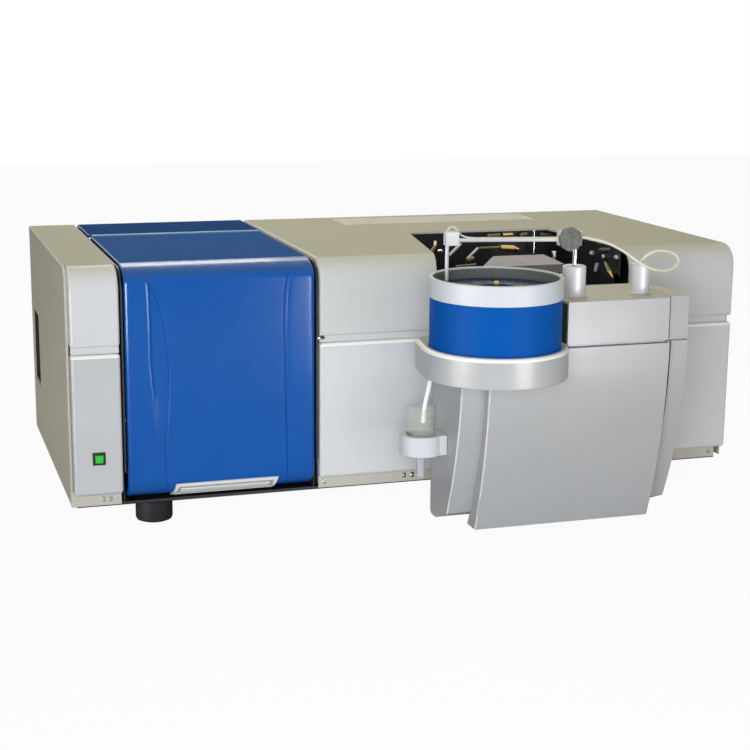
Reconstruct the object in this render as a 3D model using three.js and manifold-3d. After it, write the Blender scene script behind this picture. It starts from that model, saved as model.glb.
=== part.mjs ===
// Bench atomic absorption spectrometer with a graphite furnace and an autosampler.
// Millimetres, +Z up, front towards -Y. The origin lies under the middle, on the table.
// Inside the instrument group x counts from the left end, y from the front plane and
// z from the lower edge of the housing.

import * as THREE from "three";
import { mergeVertices } from "three/addons/utils/BufferGeometryUtils.js";
import Module from "manifold-3d";

const wasm = await Module();
wasm.setup();

// Driving dimensions

const CLEARANCE = 0.3; // gap between pieces that touch
const RUNNING = 0.1; // radial gap of a turning or sliding fit
const OVERRUN = 8; // how far a cutting body runs past the face that it cuts
const FACET_ANGLE = 15; // degrees of arc per facet

const HOUSING = {
  width: 1030,
  depth: 498,
  height: 340,
  sheet: 2.5, // folded side and rear sheets
  skin: 3, // moulded panels and covers
  returnDepth: 14, // how far a moulded panel's edges reach back
  topEdgeRadius: 33,
  lowerEdgeRadius: 14,
  endWidth: 73, // left end section
  doorGap: 7,
  doorWidth: 274,
  seamDrop: 121, // top face to the groove between lower and upper front panels
  seamGap: 10,
  topLip: 6, // flat stretch of the moulded top behind its rounded edge
  rearInset: 4, // the rear panel lies inside the covers' rear edges
};

const FOOT = { height: 42, radius: 27, edgeRadius: 5, insetX: 125, insetY: 60 };

const CHASSIS = { sheet: 3, drop: 5, insetX: 8, insetFront: 18, insetRear: 8 };

const DOOR = {
  hingeBack: 152, // hinge axis to the rear face of the housing
  hingeDrop: 6, // hinge axis below the top face
  pinRadius: 3,
  barrelRadius: 6,
  barrelInset: 3,
  rearGap: 6.5, // hinge axis to the fixed rear cover
  bottom: 1.5,
  curlDepth: 50, // the lower edge curls back under the door
  curlHeight: 32,
};

const BEZEL_SEAT_SHARE = 0.12; // part of the bezel that lies on the panel at each edge

// The grip of the door curls through these angles
const LIP = { inset: 68, width: 150, thickness: 3, fin: 2.5, from: 16, bend: 60, to: 66 };

const BUTTON = {
  bezel: 18.6,
  bezelDepth: 6,
  proud: 1.5,
  cap: 11,
  capProud: 3.5,
  travel: 2.5,
  left: 30,
  bottom: 61,
  stem: 12,
};

const RECESS = { length: 90, back: 16, bottom: 90, top: 208, depth: 30, wall: 2, flange: 5 };

const VENT = {
  left: 513,
  right: 863,
  length: 98,
  back: 14,
  ribs: 11,
  rib: 3,
  thickness: 2.5,
  flange: 5,
};

// Furnace opening, as seen from above: a trapezoid that narrows to the rear
const OPENING = { frontLeft: 538, frontRight: 850, rearLeft: 584, rearRight: 826, rear: 265, drop: 78 };

// The beam runs along x through the lamp, the furnace and the slit
const BEAM = { y: 30, drop: 55, bore: 14 };

const DRUM = {
  x: 551,
  y: -201,
  rimRadius: 91,
  rimWall: 5.3,
  rimTop: 340,
  rimBottom: 312.6,
  rimEdge: 1.6,
  wallRadius: 89.6,
  wall: 3.1,
};

// The collar tapers towards its back, and its back corners are cut off
const COLLAR = {
  wall: 9.8,
  radius: 100,
  bottom: 204,
  top: 246,
  edge: 3,
  floor: 3.5,
  taper: 9.2,
  shoulder: 73,
  back: 94,
  backWidth: 112,
};

// The sampler's case: a front shell before a back shell, with a cover on their right half
const CASE = {
  skin: 3,
  top: 237,
  frontY: -211,
  frontBow: 785, // radius of the front shell's face
  frontLeft: 542,
  frontRight: 810,
  frontBottom: -27.5,
  backY: -197,
  backBow: 590, // radius of the back shell's face
  backLeft: 507,
  backRight: 846,
  backBottom: -26,
  backRear: -74,
  chamferTop: -7, // the back shell's lower edge slants up towards the front
  chamferBack: 23,
  edgeRadius: 8,
  coverLeft: 656,
  coverTop: 300,
  coverGap: 3.5,
  coverFrontY: -207,
  coverStepY: -196,
  coverCorner: 45,
};

const MAST = { x: 686, y: -155, radius: 16.5, height: 43, edge: 1.5, rod: 3, below: 56 };

const ARM = {
  tipX: 501,
  tipY: -142.5,
  lift: 40, // middle of the arm over the mast's housing
  rise: 1.5, // half of the rise from hub to tip
  rod: 2.8,
  rodDrop: 2.2, // the rod lies below the middle of hub and tip
  hubLength: 33,
  hubWidth: 18,
  hubHeight: 20,
  block: 18,
  blockDepth: 14,
  blockBack: 5.7, // middle of the block to the needle's axis
  needle: 2.6,
  needleProud: 1,
  needleEnd: 327,
};

// The thin tube's route: x back from the needle, y across the arm, z over the block's top
const ARM_TUBE = [
  [0, 0, 0],
  [0, 0, 4],
  [-5, -1, 7],
  [-12, -3, 6],
  [-20, -7, -4],
  [-28, -4.9, -8],
  [-92, -4.9, -10],
  [-160, -4.9, -11.5],
];

const KNOB = { radius: 16.7, thickness: 7, lobes: 8, lobeDepth: 0.9, stem: 3, along: 12 };

const POST = { x: 787, y: -158, radius: 13.3, height: 43, edge: 1.5 };

const CUP = {
  x: 475,
  y: -120,
  radius: 20.5,
  wall: 1.4,
  bottom: 85,
  top: 146,
  holderRadius: 30,
  holderBottom: 78,
  holderTop: 107,
  armFront: 22,
  armBack: 18,
  spigot: 6.5,
  spigotEnd: 44,
};

const TUBE = { thick: 4, thin: 2.4, rinse: 6.5 };

// Facets around and along each swept tube
const TUBE_FACETS = {
  thick: { sides: 8, steps: 70 },
  thin: { sides: 6, steps: 30 },
  rinse: { sides: 8, steps: 16 },
};

const BRACKET = { left: 600, right: 760, bottom: 95, top: 190, plate: 4 };

// Places that follow from the driving dimensions

const doorLeft = HOUSING.endWidth + HOUSING.doorGap;
const doorRight = doorLeft + HOUSING.doorWidth;
const rightStart = doorRight + HOUSING.doorGap;
const seamBottom = HOUSING.height - HOUSING.seamDrop;
const seamTop = seamBottom + HOUSING.seamGap;
const lipBack = HOUSING.topEdgeRadius + HOUSING.topLip;
const hingeY = HOUSING.depth - DOOR.hingeBack;
const hingeZ = HOUSING.height - DOOR.hingeDrop;
const rearY = HOUSING.depth - HOUSING.rearInset;
const floorZ = -CHASSIS.drop + CHASSIS.sheet + CLEARANCE;
const roofZ = HOUSING.height - HOUSING.skin - CLEARANCE;
const wallRear = HOUSING.depth - CHASSIS.insetRear - CHASSIS.sheet - CLEARANCE;
const underCovers = HOUSING.height - HOUSING.returnDepth - CLEARANCE;
const collarFront = DRUM.y - COLLAR.radius;
const sillZ = HOUSING.height - OPENING.drop;
const beamZ = HOUSING.height - BEAM.drop;
const recessRear = HOUSING.depth - RECESS.back;
const recessFront = recessRear - RECESS.length;
const ventRear = HOUSING.depth - VENT.back;
const ventFront = ventRear - VENT.length;

const radians = THREE.MathUtils.degToRad;
const vec = (x, y, z) => new THREE.Vector3(x, y, z);

// Outlines: lists of points, with round stretches as arcs

function arc([cx, cy], radius, from, to, facet = FACET_ANGLE) {
  const [rx, ry] = Array.isArray(radius) ? radius : [radius, radius];
  const steps = Math.max(1, Math.ceil(Math.abs(to - from) / facet - 1e-6));
  return Array.from({ length: steps + 1 }, (_, k) => {
    const angle = radians(from + ((to - from) * k) / steps);
    return [cx + rx * Math.cos(angle), cy + ry * Math.sin(angle)];
  });
}

function circle(centre, radius, facet = FACET_ANGLE) {
  return arc(centre, radius, 0, 360, facet).slice(0, -1);
}

function outline(points, holes = []) {
  const flat = (list) => list.map(([x, y]) => new THREE.Vector2(x, y));
  const shape = new THREE.Shape(flat(points));
  shape.holes = holes.map((hole) => new THREE.Path(flat(hole)));
  return shape;
}

// Solids: an outline pushed along one axis, a block between two corners, a turned profile

const ALONG_X = new THREE.Matrix4().makeBasis(vec(0, 1, 0), vec(0, 0, 1), vec(1, 0, 0));
const ALONG_Y = new THREE.Matrix4().makeBasis(vec(1, 0, 0), vec(0, 0, 1), vec(0, -1, 0));

function push(shape, length) {
  return new THREE.ExtrudeGeometry(shape, { depth: length, bevelEnabled: false, steps: 1 });
}

function alongX(shape, [x0, x1]) {
  return push(shape, x1 - x0).applyMatrix4(ALONG_X).translate(x0, 0, 0);
}

function alongY(shape, [y0, y1]) {
  return push(shape, y1 - y0).applyMatrix4(ALONG_Y).translate(0, y1, 0);
}

function alongZ(shape, [z0, z1]) {
  return push(shape, z1 - z0).translate(0, 0, z0);
}

function block([x0, x1], [y0, y1], [z0, z1]) {
  const box = new THREE.BoxGeometry(x1 - x0, y1 - y0, z1 - z0);
  return box.translate((x0 + x1) / 2, (y0 + y1) / 2, (z0 + z1) / 2);
}

function turned(profile, facet = FACET_ANGLE) {
  const points = profile.map(([r, z]) => new THREE.Vector2(r, z));
  return new THREE.LatheGeometry(points, Math.round(360 / facet)).rotateX(Math.PI / 2);
}

// A round tube through a list of points
function sweep(points, radius, { sides, steps }) {
  const path = new THREE.CatmullRomCurve3(points);
  const section = outline(circle([0, 0], radius, 360 / sides));
  return new THREE.ExtrudeGeometry(section, { steps, bevelEnabled: false, extrudePath: path });
}

function toSolid(geometry) {
  const bare = geometry.clone();
  bare.deleteAttribute("normal");
  bare.deleteAttribute("uv");
  const merged = mergeVertices(bare);
  return new wasm.Manifold(
    new wasm.Mesh({
      numProp: 3,
      vertProperties: Float32Array.from(merged.attributes.position.array),
      triVerts: Uint32Array.from(merged.index.array),
    }),
  );
}

function toGeometry(solid) {
  const { vertProperties, triVerts } = solid.getMesh();
  const geometry = new THREE.BufferGeometry();
  geometry.setAttribute("position", new THREE.BufferAttribute(vertProperties, 3));
  geometry.setIndex(new THREE.BufferAttribute(triVerts, 1));
  const facets = geometry.toNonIndexed();
  facets.computeVertexNormals();
  return facets;
}

function cut(body, ...tools) {
  return toGeometry(tools.reduce((rest, tool) => rest.subtract(toSolid(tool)), toSolid(body)));
}

function join(body, ...others) {
  return toGeometry(others.reduce((sum, other) => sum.add(toSolid(other)), toSolid(body)));
}

// The tightest convex body around both
function hull(one, other) {
  return toGeometry(wasm.Manifold.hull([toSolid(one), toSolid(other)]));
}

// Finishes: colour, roughness, metalness

const FINISH = {
  panelGrey: [0xcfd1d6, 0.5, 0],
  sheetBeige: [0xc4c0b2, 0.55, 0],
  doorBlue: [0x1552a8, 0.3, 0],
  white: [0xe9ecef, 0.4, 0],
  black: [0x141416, 0.6, 0],
  rubber: [0x101012, 0.85, 0],
  steel: [0x9a9c9f, 0.35, 0.9],
  chrome: [0xd8dadc, 0.15, 1],
  brass: [0xb08a3e, 0.35, 0.9],
  graphite: [0x2c2c2e, 0.5, 0.3],
  board: [0x1d5a33, 0.6, 0],
  lampGreen: [0x27c440, 0.4, 0],
  glass: [0xd5e2e8, 0.1, 0],
  tray: [0x101c33, 0.2, 0.1],
  knobGrey: [0x8a8c88, 0.5, 0.2],
};

function piece(name, geometry, finish, place = [0, 0, 0]) {
  const [color, roughness, metalness] = FINISH[finish];
  const mesh = new THREE.Mesh(geometry, new THREE.MeshStandardMaterial({ color, roughness, metalness }));
  mesh.name = name;
  mesh.position.set(...place);
  return mesh;
}

function groupAt(place, ...members) {
  const group = new THREE.Group();
  group.position.set(...place);
  group.add(...members);
  return group;
}

// Moulded covers: an L-shaped section with edges turned in, open towards the inside

function coverSection({ bottom, top, back, radius }, outer, inner, end) {
  return outline([
    ...arc([radius, top - radius], radius - outer, 180, 90),
    [back - end, top - outer],
    [back - end, top - inner],
    ...arc([radius, top - radius], radius - inner, 90, 180),
    [inner, bottom + end],
    [outer, bottom + end],
  ].reverse());
}

function mouldedCover(section, [x0, x1]) {
  const { skin, returnDepth } = HOUSING;
  const body = alongX(coverSection(section, 0, returnDepth, 0), [x0, x1]);
  const pocket = alongX(coverSection(section, skin, returnDepth + OVERRUN, skin), [x0 + skin, x1 - skin]);
  return cut(body, pocket);
}

function lowerSection(inset, depth) {
  const radius = HOUSING.lowerEdgeRadius;
  return outline([
    ...arc([radius, radius], radius - inset, 180, 270),
    [depth, inset],
    [depth, seamBottom - inset],
    [inset, seamBottom - inset],
  ]);
}

function lowerPanel([x0, x1], ...holes) {
  const { skin, returnDepth } = HOUSING;
  const depth = HOUSING.lowerEdgeRadius + CLEARANCE;
  const body = alongX(lowerSection(0, Math.max(returnDepth, depth)), [x0, x1]);
  const pocket = alongX(lowerSection(skin, returnDepth + OVERRUN), [x0 + skin, x1 - skin]);
  return cut(body, pocket, ...holes);
}

// Housing

function baseChassis() {
  const { sheet, drop, insetX, insetFront, insetRear } = CHASSIS;
  const x = [insetX, HOUSING.width - insetX];
  const y = [insetFront, HOUSING.depth - insetRear];
  const body = block(x, y, [-drop, -CLEARANCE]);
  const inside = block(
    x.map((v, i) => v + (i ? -sheet : sheet)),
    y.map((v, i) => v + (i ? -sheet : sheet)),
    [-drop + sheet, OVERRUN],
  );
  return piece("base_chassis", cut(body, inside), "black");
}

function foot(name, x, y) {
  const { radius, edgeRadius, height } = FOOT;
  const top = height - CHASSIS.drop - CLEARANCE;
  const profile = [
    [0, 0],
    ...arc([radius - edgeRadius, edgeRadius], edgeRadius, -90, 0, 30),
    [radius, top],
    [0, top],
  ];
  return piece(name, turned(profile), "rubber", [x, y, -height]);
}

function feet() {
  const { insetX, insetY } = FOOT;
  const xs = { left: insetX, right: HOUSING.width - insetX };
  const ys = { front: insetY, rear: HOUSING.depth - insetY };
  return Object.entries(ys).flatMap(([row, y]) =>
    Object.entries(xs).map(([side, x]) => foot(`foot_${row}_${side}`, x, y)),
  );
}

// Side wall behind the moulded front edge, which it follows
function sideWall(top) {
  const edge = HOUSING.returnDepth + CLEARANCE;
  const radius = HOUSING.topEdgeRadius;
  const under = HOUSING.height - edge;
  const step = lipBack + CLEARANCE;
  return outline([
    [edge, 0],
    [HOUSING.depth, 0],
    [HOUSING.depth, top],
    ...(top > under ? [[step, top], [step, under]] : []),
    ...arc([radius, HOUSING.height - radius], radius - edge, 90, 180),
  ]);
}

function leftSidePanel() {
  const { sheet, endWidth, depth, height } = HOUSING;
  const wall = alongX(sideWall(height), [0, sheet]);
  const roof = block([0, endWidth], [lipBack + CLEARANCE, depth], [height - sheet, height]);
  const window = block([-OVERRUN, OVERRUN], [recessFront, recessRear], [RECESS.bottom, RECESS.top]);
  return piece("left_side_panel", cut(join(wall, roof), window), "sheetBeige");
}

function rightSidePanel() {
  const { sheet, width } = HOUSING;
  const wall = alongX(sideWall(underCovers), [width - sheet, width]);
  return piece("right_side_panel", wall, "sheetBeige");
}

function sideRecessTray() {
  const { bottom, top, depth, wall, flange } = RECESS;
  const [front, rear] = [recessFront, recessRear];
  const start = HOUSING.sheet + CLEARANCE;
  const rim = block(
    [start, start + wall],
    [front - flange, rear + flange],
    [bottom - flange, top + flange],
  );
  const cup = block([start, start + depth], [front - wall, rear + wall], [bottom - wall, top + wall]);
  const hollow = block([start - OVERRUN, start + depth - wall], [front, rear], [bottom, top]);
  return piece("side_recess_tray", cut(join(rim, cup), hollow), "black");
}

function leftUpperFrontPanel() {
  const section = { bottom: seamTop, top: HOUSING.height, back: lipBack, radius: HOUSING.topEdgeRadius };
  return piece("left_upper_front_panel", mouldedCover(section, [0, HOUSING.endWidth]), "panelGrey");
}

function leftLowerFrontPanel() {
  const { bezel, left, bottom } = BUTTON;
  const seat = bezel * BEZEL_SEAT_SHARE;
  const x = [left + seat, left + bezel - seat];
  const z = [bottom + seat, bottom + bezel - seat];
  return piece(
    "left_lower_front_panel",
    lowerPanel([0, HOUSING.endWidth], block(x, [-OVERRUN, OVERRUN], z)),
    "panelGrey",
  );
}

function powerButton() {
  const { bezel, bezelDepth, proud, cap, capProud, travel, stem } = BUTTON;
  const seat = bezel * BEZEL_SEAT_SHARE + CLEARANCE;
  const half = bezel / 2;
  const flangeBlock = block([-half, half], [-proud - CLEARANCE, -CLEARANCE], [-half, half]);
  const sleeve = block([seat - half, half - seat], [-proud, bezelDepth], [seat - half, half - seat]);
  const slot = cap / 2 + CLEARANCE;
  const channel = block([-slot, slot], [-OVERRUN, bezelDepth + OVERRUN], [-slot, slot]);
  const frame = cut(join(flangeBlock, sleeve), channel);
  const keyHalf = cap / 2;
  const key = block([-keyHalf, keyHalf], [-capProud - proud, stem - travel], [-keyHalf, keyHalf]);
  const centre = [BUTTON.left + half, 0, BUTTON.bottom + half];
  return groupAt(
    centre,
    piece("power_button_bezel", frame, "black"),
    piece("power_button", key, "lampGreen"),
  );
}

function bayWall(name, x0, hasPort) {
  const { sheet, height } = HOUSING;
  const edge = CHASSIS.insetFront + CHASSIS.sheet + CLEARANCE;
  const corner = HOUSING.topEdgeRadius;
  const top = height - HOUSING.skin - CLEARANCE;
  const section = outline(
    [
      [edge, floorZ],
      [wallRear, floorZ],
      [wallRear, top],
      ...arc([corner + HOUSING.skin, top - corner], corner, 90, 180),
      [HOUSING.skin, HOUSING.lowerEdgeRadius + DOOR.curlHeight],
      [edge, HOUSING.lowerEdgeRadius + DOOR.curlHeight],
    ],
    hasPort ? [circle([BEAM.y, beamZ], BEAM.bore + HOUSING.skin).reverse()] : [],
  );
  return piece(name, alongX(section, [x0, x0 + sheet]), "black");
}

function bayWalls() {
  const inset = (HOUSING.doorGap - HOUSING.sheet) / 2;
  return [
    bayWall("lamp_bay_left_wall", HOUSING.endWidth + inset, false),
    bayWall("lamp_bay_right_wall", doorRight + inset, true),
  ];
}

// Points of the door's lower curl, from its front plane down and back
function curl(outset, from, to) {
  const { curlDepth, curlHeight, bottom } = DOOR;
  const centre = [curlDepth, bottom + curlHeight];
  return arc(centre, [curlDepth + outset, curlHeight + outset], 180 + from, 180 + to, FACET_ANGLE / 2);
}

function lampDoor() {
  const { skin, topEdgeRadius, returnDepth, height } = HOUSING;
  const { curlHeight, bottom, pinRadius, barrelRadius, barrelInset } = DOOR;
  const x = [doorLeft, doorRight];
  const back = hingeY - barrelRadius;
  const upper = { bottom: bottom + curlHeight, top: height, back, radius: topEdgeRadius };
  const body = alongX(coverSection(upper, 0, returnDepth, 0), x);
  const pocket = alongX(
    coverSection(upper, skin, returnDepth + OVERRUN, skin),
    [x[0] + skin, x[1] - skin],
  );
  const foot = outline([
    ...curl(0, 0, 80),
    ...curl(-skin, 80, 0),
    [skin, upper.bottom + returnDepth],
    [0, upper.bottom + returnDepth],
  ]);
  const through = block(
    [x[0] + skin, x[1] - skin],
    [skin, returnDepth + OVERRUN],
    [0, upper.bottom + returnDepth],
  );
  const barrelX = [x[0] + barrelInset, x[1] - barrelInset];
  const barrel = alongX(outline(circle([hingeY, hingeZ], barrelRadius)), barrelX);
  const web = block(barrelX, [back - skin, hingeY], [hingeZ - skin / 2, hingeZ + skin]);
  const bore = alongX(
    outline(circle([hingeY, hingeZ], pinRadius + RUNNING)),
    [x[0] - OVERRUN, x[1] + OVERRUN],
  );
  const shell = cut(body, pocket, through);
  return piece("lamp_door", cut(join(shell, alongX(foot, x), barrel, web), bore), "doorBlue");
}

function doorHandleLip() {
  const { inset, width, thickness, fin, from, bend, to } = LIP;
  const outer = CLEARANCE + thickness;
  const edge = curl(outer + fin, to, to)[0];
  const section = outline([...curl(outer, from, bend), edge, ...curl(CLEARANCE, to, from)]);
  return piece("door_handle_lip", alongX(section, [doorLeft + inset, doorLeft + inset + width]), "white");
}

function doorHingeRod() {
  const inset = (HOUSING.doorGap - HOUSING.sheet) / 2;
  const x = [doorLeft - inset + CLEARANCE, doorRight + inset - CLEARANCE];
  return piece("door_hinge_rod", alongX(outline(circle([hingeY, hingeZ], DOOR.pinRadius)), x), "steel");
}

function rearBlueCover() {
  const { skin, returnDepth, height, depth } = HOUSING;
  const y = [hingeY + DOOR.rearGap, depth];
  const body = block([doorLeft, doorRight], y, [height - returnDepth, height]);
  const hollow = block(
    [doorLeft + skin, doorRight - skin],
    [y[0] + skin, y[1] - skin],
    [height - returnDepth - OVERRUN, height - skin],
  );
  return piece("rear_blue_cover", cut(body, hollow), "doorBlue");
}

function rightTopCover() {
  const { width, height, depth, topEdgeRadius } = HOUSING;
  const section = { bottom: seamTop, top: height, back: depth, radius: topEdgeRadius };
  const cover = mouldedCover(section, [rightStart, width]);
  const rise = [sillZ, height + OVERRUN];
  const mouth = alongZ(
    outline([
      [OPENING.frontLeft, -OVERRUN],
      [OPENING.frontRight, -OVERRUN],
      [OPENING.frontRight, 0],
      [OPENING.rearRight, OPENING.rear],
      [OPENING.rearLeft, OPENING.rear],
      [OPENING.frontLeft, 0],
    ]),
    rise,
  );
  const vent = block([VENT.left, VENT.right], [ventFront, ventRear], rise);
  return piece("right_top_cover", cut(cover, mouth, vent), "panelGrey");
}

function rightLowerFrontPanel() {
  return piece("right_lower_front_panel", lowerPanel([rightStart, HOUSING.width]), "panelGrey");
}

function topVentGrille() {
  const { left, right, ribs, rib, thickness, flange } = VENT;
  const [front, rear] = [ventFront, ventRear];
  const top = HOUSING.height - HOUSING.skin - CLEARANCE;
  const plate = block(
    [left - flange, right + flange],
    [front - flange, rear + flange],
    [top - thickness, top],
  );
  const raised = block(
    [left + CLEARANCE, right - CLEARANCE],
    [front + CLEARANCE, rear - CLEARANCE],
    [top - thickness / 2, HOUSING.height - CLEARANCE],
  );
  const pitch = (rear - front - 2 * flange) / ribs;
  const slots = Array.from({ length: ribs }, (_, k) => {
    const y = front + flange + k * pitch;
    return block(
      [left + flange, right - flange],
      [y + rib / 2, y + pitch - rib / 2],
      [top - OVERRUN, HOUSING.height + OVERRUN],
    );
  });
  return piece("top_vent_grille", cut(join(plate, raised), ...slots), "white");
}

// Rear panel with its fan and mains openings

const FAN = {
  x: 690,
  z: 150,
  size: 120,
  depth: 25,
  bore: 57,
  hub: 20,
  hubDepth: 20,
  blades: 7,
  bladeWidth: 2.2,
  bladeTwist: 35,
  gap: 3,
  spoke: 5,
  spokeDepth: 4,
};
const INLET = {
  x: 430,
  z: 60,
  width: 136,
  height: 116,
  window: 120,
  windowHeight: 100,
  body: 28.2,
  bodyHeight: 20.2,
  depth: 26,
  plate: 3,
  pocket: 16,
  wall: 2,
};

function rearPanel() {
  const { sheet, width, height, endWidth } = HOUSING;
  const side = sheet + CLEARANCE;
  const grille = circle([FAN.x, FAN.z], FAN.bore);
  const halfX = INLET.window / 2;
  const halfZ = INLET.windowHeight / 2;
  const mains = [
    [INLET.x - halfX, INLET.z - halfZ],
    [INLET.x + halfX, INLET.z - halfZ],
    [INLET.x + halfX, INLET.z + halfZ],
    [INLET.x - halfX, INLET.z + halfZ],
  ];
  const roof = height - sheet - CLEARANCE;
  const plate = outline(
    [
      [side, 0],
      [width - side, 0],
      [width - side, underCovers],
      [endWidth, underCovers],
      [endWidth, roof],
      [side, roof],
    ],
    [grille.reverse(), mains.reverse()],
  );
  return piece("rear_panel", alongY(plate, [rearY - sheet, rearY]), "sheetBeige");
}

function powerInlet() {
  const { width, height, body, bodyHeight, depth, plate, pocket, wall } = INLET;
  const face = block([-width / 2, width / 2], [CLEARANCE, plate + CLEARANCE], [-height / 2, height / 2]);
  const box = block([-body / 2, body / 2], [-depth, plate], [-bodyHeight / 2, bodyHeight / 2]);
  const socket = block(
    [wall - body / 2, body / 2 - wall],
    [plate - pocket, plate + OVERRUN],
    [wall - bodyHeight / 2, bodyHeight / 2 - wall],
  );
  return piece("power_inlet", cut(join(face, box), socket), "black", [INLET.x, rearY, INLET.z]);
}

function fan() {
  const {
    size,
    depth,
    bore,
    hub,
    hubDepth,
    blades,
    bladeWidth,
    bladeTwist,
    gap,
    spoke,
    spokeDepth,
  } = FAN;
  const half = size / 2;
  const frame = alongY(
    outline(
      [[-half, -half], [half, -half], [half, half], [-half, half]],
      [circle([0, 0], bore).reverse()],
    ),
    [0, depth],
  );
  const spokes = [0, 1].map((turn) =>
    block(
      [-bore - 1 / 2, bore + 1 / 2],
      [0, spokeDepth],
      [-spoke / 2, spoke / 2],
    ).rotateY((turn * Math.PI) / 2),
  );
  const boss = alongY(outline(circle([0, 0], hub)), [0, spokeDepth]);
  const rotorHub = alongY(outline(circle([0, 0], hub)), [spokeDepth + CLEARANCE, spokeDepth + hubDepth]);
  const blade = (k) =>
    block(
      [-bladeWidth / 2, bladeWidth / 2],
      [-hubDepth / 2 + gap, hubDepth / 2 - gap],
      [hub - gap, bore - gap],
    )
      .rotateZ(radians(bladeTwist))
      .translate(0, spokeDepth + hubDepth / 2, 0)
      .rotateY((k * 2 * Math.PI) / blades);
  const rotor = join(rotorHub, ...Array.from({ length: blades }, (_, k) => blade(k)));
  const place = [FAN.x, rearY - HOUSING.sheet - CLEARANCE - depth, FAN.z];
  return groupAt(
    place,
    piece("fan_frame", join(frame, ...spokes, boss), "black"),
    piece("fan_rotor", rotor, "black"),
  );
}

// Lamp turret: a disc on a motor shaft, with lamps lying along the beam

const LAMP = { radius: 18.5, body: 86, neck: 10, nose: 14, length: 142, base: 16, tail: 9 };
const TURRET = {
  ring: 42,
  sockets: 6,
  lamps: 3,
  disc: 62,
  discDepth: 8,
  offset: 46,
  hub: 12,
  shaft: 5,
  angle: 158,
};
const MOTOR = { size: 42, depth: 36 };

function lampTurret() {
  const { ring, sockets, lamps, disc, discDepth, offset, hub, shaft, angle } = TURRET;
  const start = radians(angle);
  const seat = (k) => {
    const a = start + (k * 2 * Math.PI) / sockets;
    return [ring * Math.cos(a), ring * Math.sin(a)];
  };
  const centre = [doorLeft, BEAM.y - seat(0)[0], beamZ - seat(0)[1]];
  const holes = Array.from(
    { length: sockets },
    (_, k) => circle(seat(k), LAMP.radius + CLEARANCE).reverse(),
  );
  const plate = alongX(
    outline(circle([0, 0], disc, FACET_ANGLE / 2), holes),
    [offset, offset + discDepth],
  );
  const collar = alongX(outline(circle([0, 0], hub)), [offset - hub / 2, offset + discDepth + hub / 2]);
  const bore = alongX(
    outline(circle([0, 0], shaft + RUNNING)),
    [offset - OVERRUN, offset + discDepth + OVERRUN],
  );
  const wheel = piece("lamp_turret", cut(join(plate, collar), bore), "steel");
  const { radius, body, neck, nose, length, base, tail } = LAMP;
  const profile = [
    [0, -tail],
    [base, -tail],
    [base, 0],
    [radius, 0],
    [radius, body],
    [nose, body + neck],
    [nose, length],
    [0, length],
  ];
  const lampAt = (k) => {
    const [y, z] = seat((k * sockets) / lamps);
    return piece(
      `hollow_cathode_lamp_${k + 1}`,
      turned(profile).rotateY(Math.PI / 2),
      "glass",
      [offset, y, z],
    );
  };
  const half = MOTOR.size / 2;
  const wallGap = (HOUSING.doorGap - HOUSING.sheet) / 2;
  const motorStart = CLEARANCE - wallGap;
  const motorBody = block([motorStart, motorStart + MOTOR.depth], [-half, half], [-half, half]);
  const axle = alongX(outline(circle([0, 0], shaft)), [motorStart, offset + discDepth]);
  const motor = piece("turret_motor", join(motorBody, axle), "graphite");
  return groupAt(centre, wheel, motor, ...Array.from({ length: lamps }, (_, k) => lampAt(k)));
}

// Optics: a bench over the electronics, and the monochromator on it

const BENCH = { left: 366, right: 1016, front: 16, rear: 340, drop: 144, plate: 6, leg: 6, foot: 24 };
const benchTop = HOUSING.height - BENCH.drop;
const MONO = {
  left: 866,
  right: 1014,
  front: 17,
  rear: 330,
  height: 128,
  wall: 3,
  slit: 4,
  tubeRadius: 19,
};
const GRATING = { x: 940, y: 250, width: 60, height: 50, depth: 10, table: 26, tableDepth: 6, stem: 5 };
const DETECTOR = { x: 920, drop: 78, radius: 17, length: 60, flange: 24, flangeDepth: 5 };
const detectorZ = HOUSING.height - DETECTOR.drop;

function opticalBench() {
  const { left, right, front, rear, plate, leg, foot: footDepth } = BENCH;
  const section = outline([
    [left, floorZ],
    [left + footDepth, floorZ],
    [left + footDepth, floorZ + leg],
    [left + leg, floorZ + leg],
    [left + leg, benchTop - plate],
    [right - leg, benchTop - plate],
    [right - leg, floorZ + leg],
    [right - footDepth, floorZ + leg],
    [right - footDepth, floorZ],
    [right, floorZ],
    [right, benchTop],
    [left, benchTop],
  ]);
  return piece("optical_bench", alongY(section, [front + CHASSIS.insetFront, rear]), "steel");
}

function monochromator() {
  const { left, right, front, rear, height, wall, slit } = MONO;
  const base = benchTop + CLEARANCE;
  const body = block([left, right], [front, rear], [base, base + height]);
  const inside = block(
    [left + wall, right - wall],
    [front + wall, rear - wall],
    [base + wall, base + height + OVERRUN],
  );
  const entry = alongX(outline(circle([BEAM.y, beamZ], slit)), [left - OVERRUN, left + wall + OVERRUN]);
  const exit = alongY(
    outline(circle([DETECTOR.x, detectorZ], slit)),
    [rear - wall - OVERRUN, rear + OVERRUN],
  );
  const { width, height: tall, depth, table, tableDepth, stem } = GRATING;
  const floor = base + wall + CLEARANCE;
  const blank = block(
    [-width / 2, width / 2],
    [-depth / 2, depth / 2],
    [tableDepth / 2, tableDepth + tall],
  );
  const plate = alongZ(outline(circle([0, 0], table)), [0, tableDepth]);
  const post = alongZ(outline(circle([0, 0], stem)), [tableDepth / 2, tableDepth + tall + stem]);
  const { radius, length, flange, flangeDepth } = DETECTOR;
  const tube = turned([
    [0, 0],
    [flange, 0],
    [flange, flangeDepth],
    [radius, flangeDepth],
    [radius, length],
    [0, length],
  ]).rotateX(-Math.PI / 2);
  return [
    piece("monochromator_case", cut(body, inside, entry, exit), "graphite"),
    piece("diffraction_grating", join(blank, plate, post), "chrome", [GRATING.x, GRATING.y, floor]),
    piece("photomultiplier_housing", tube, "black", [DETECTOR.x, rear + CLEARANCE, detectorZ]),
  ];
}

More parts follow.
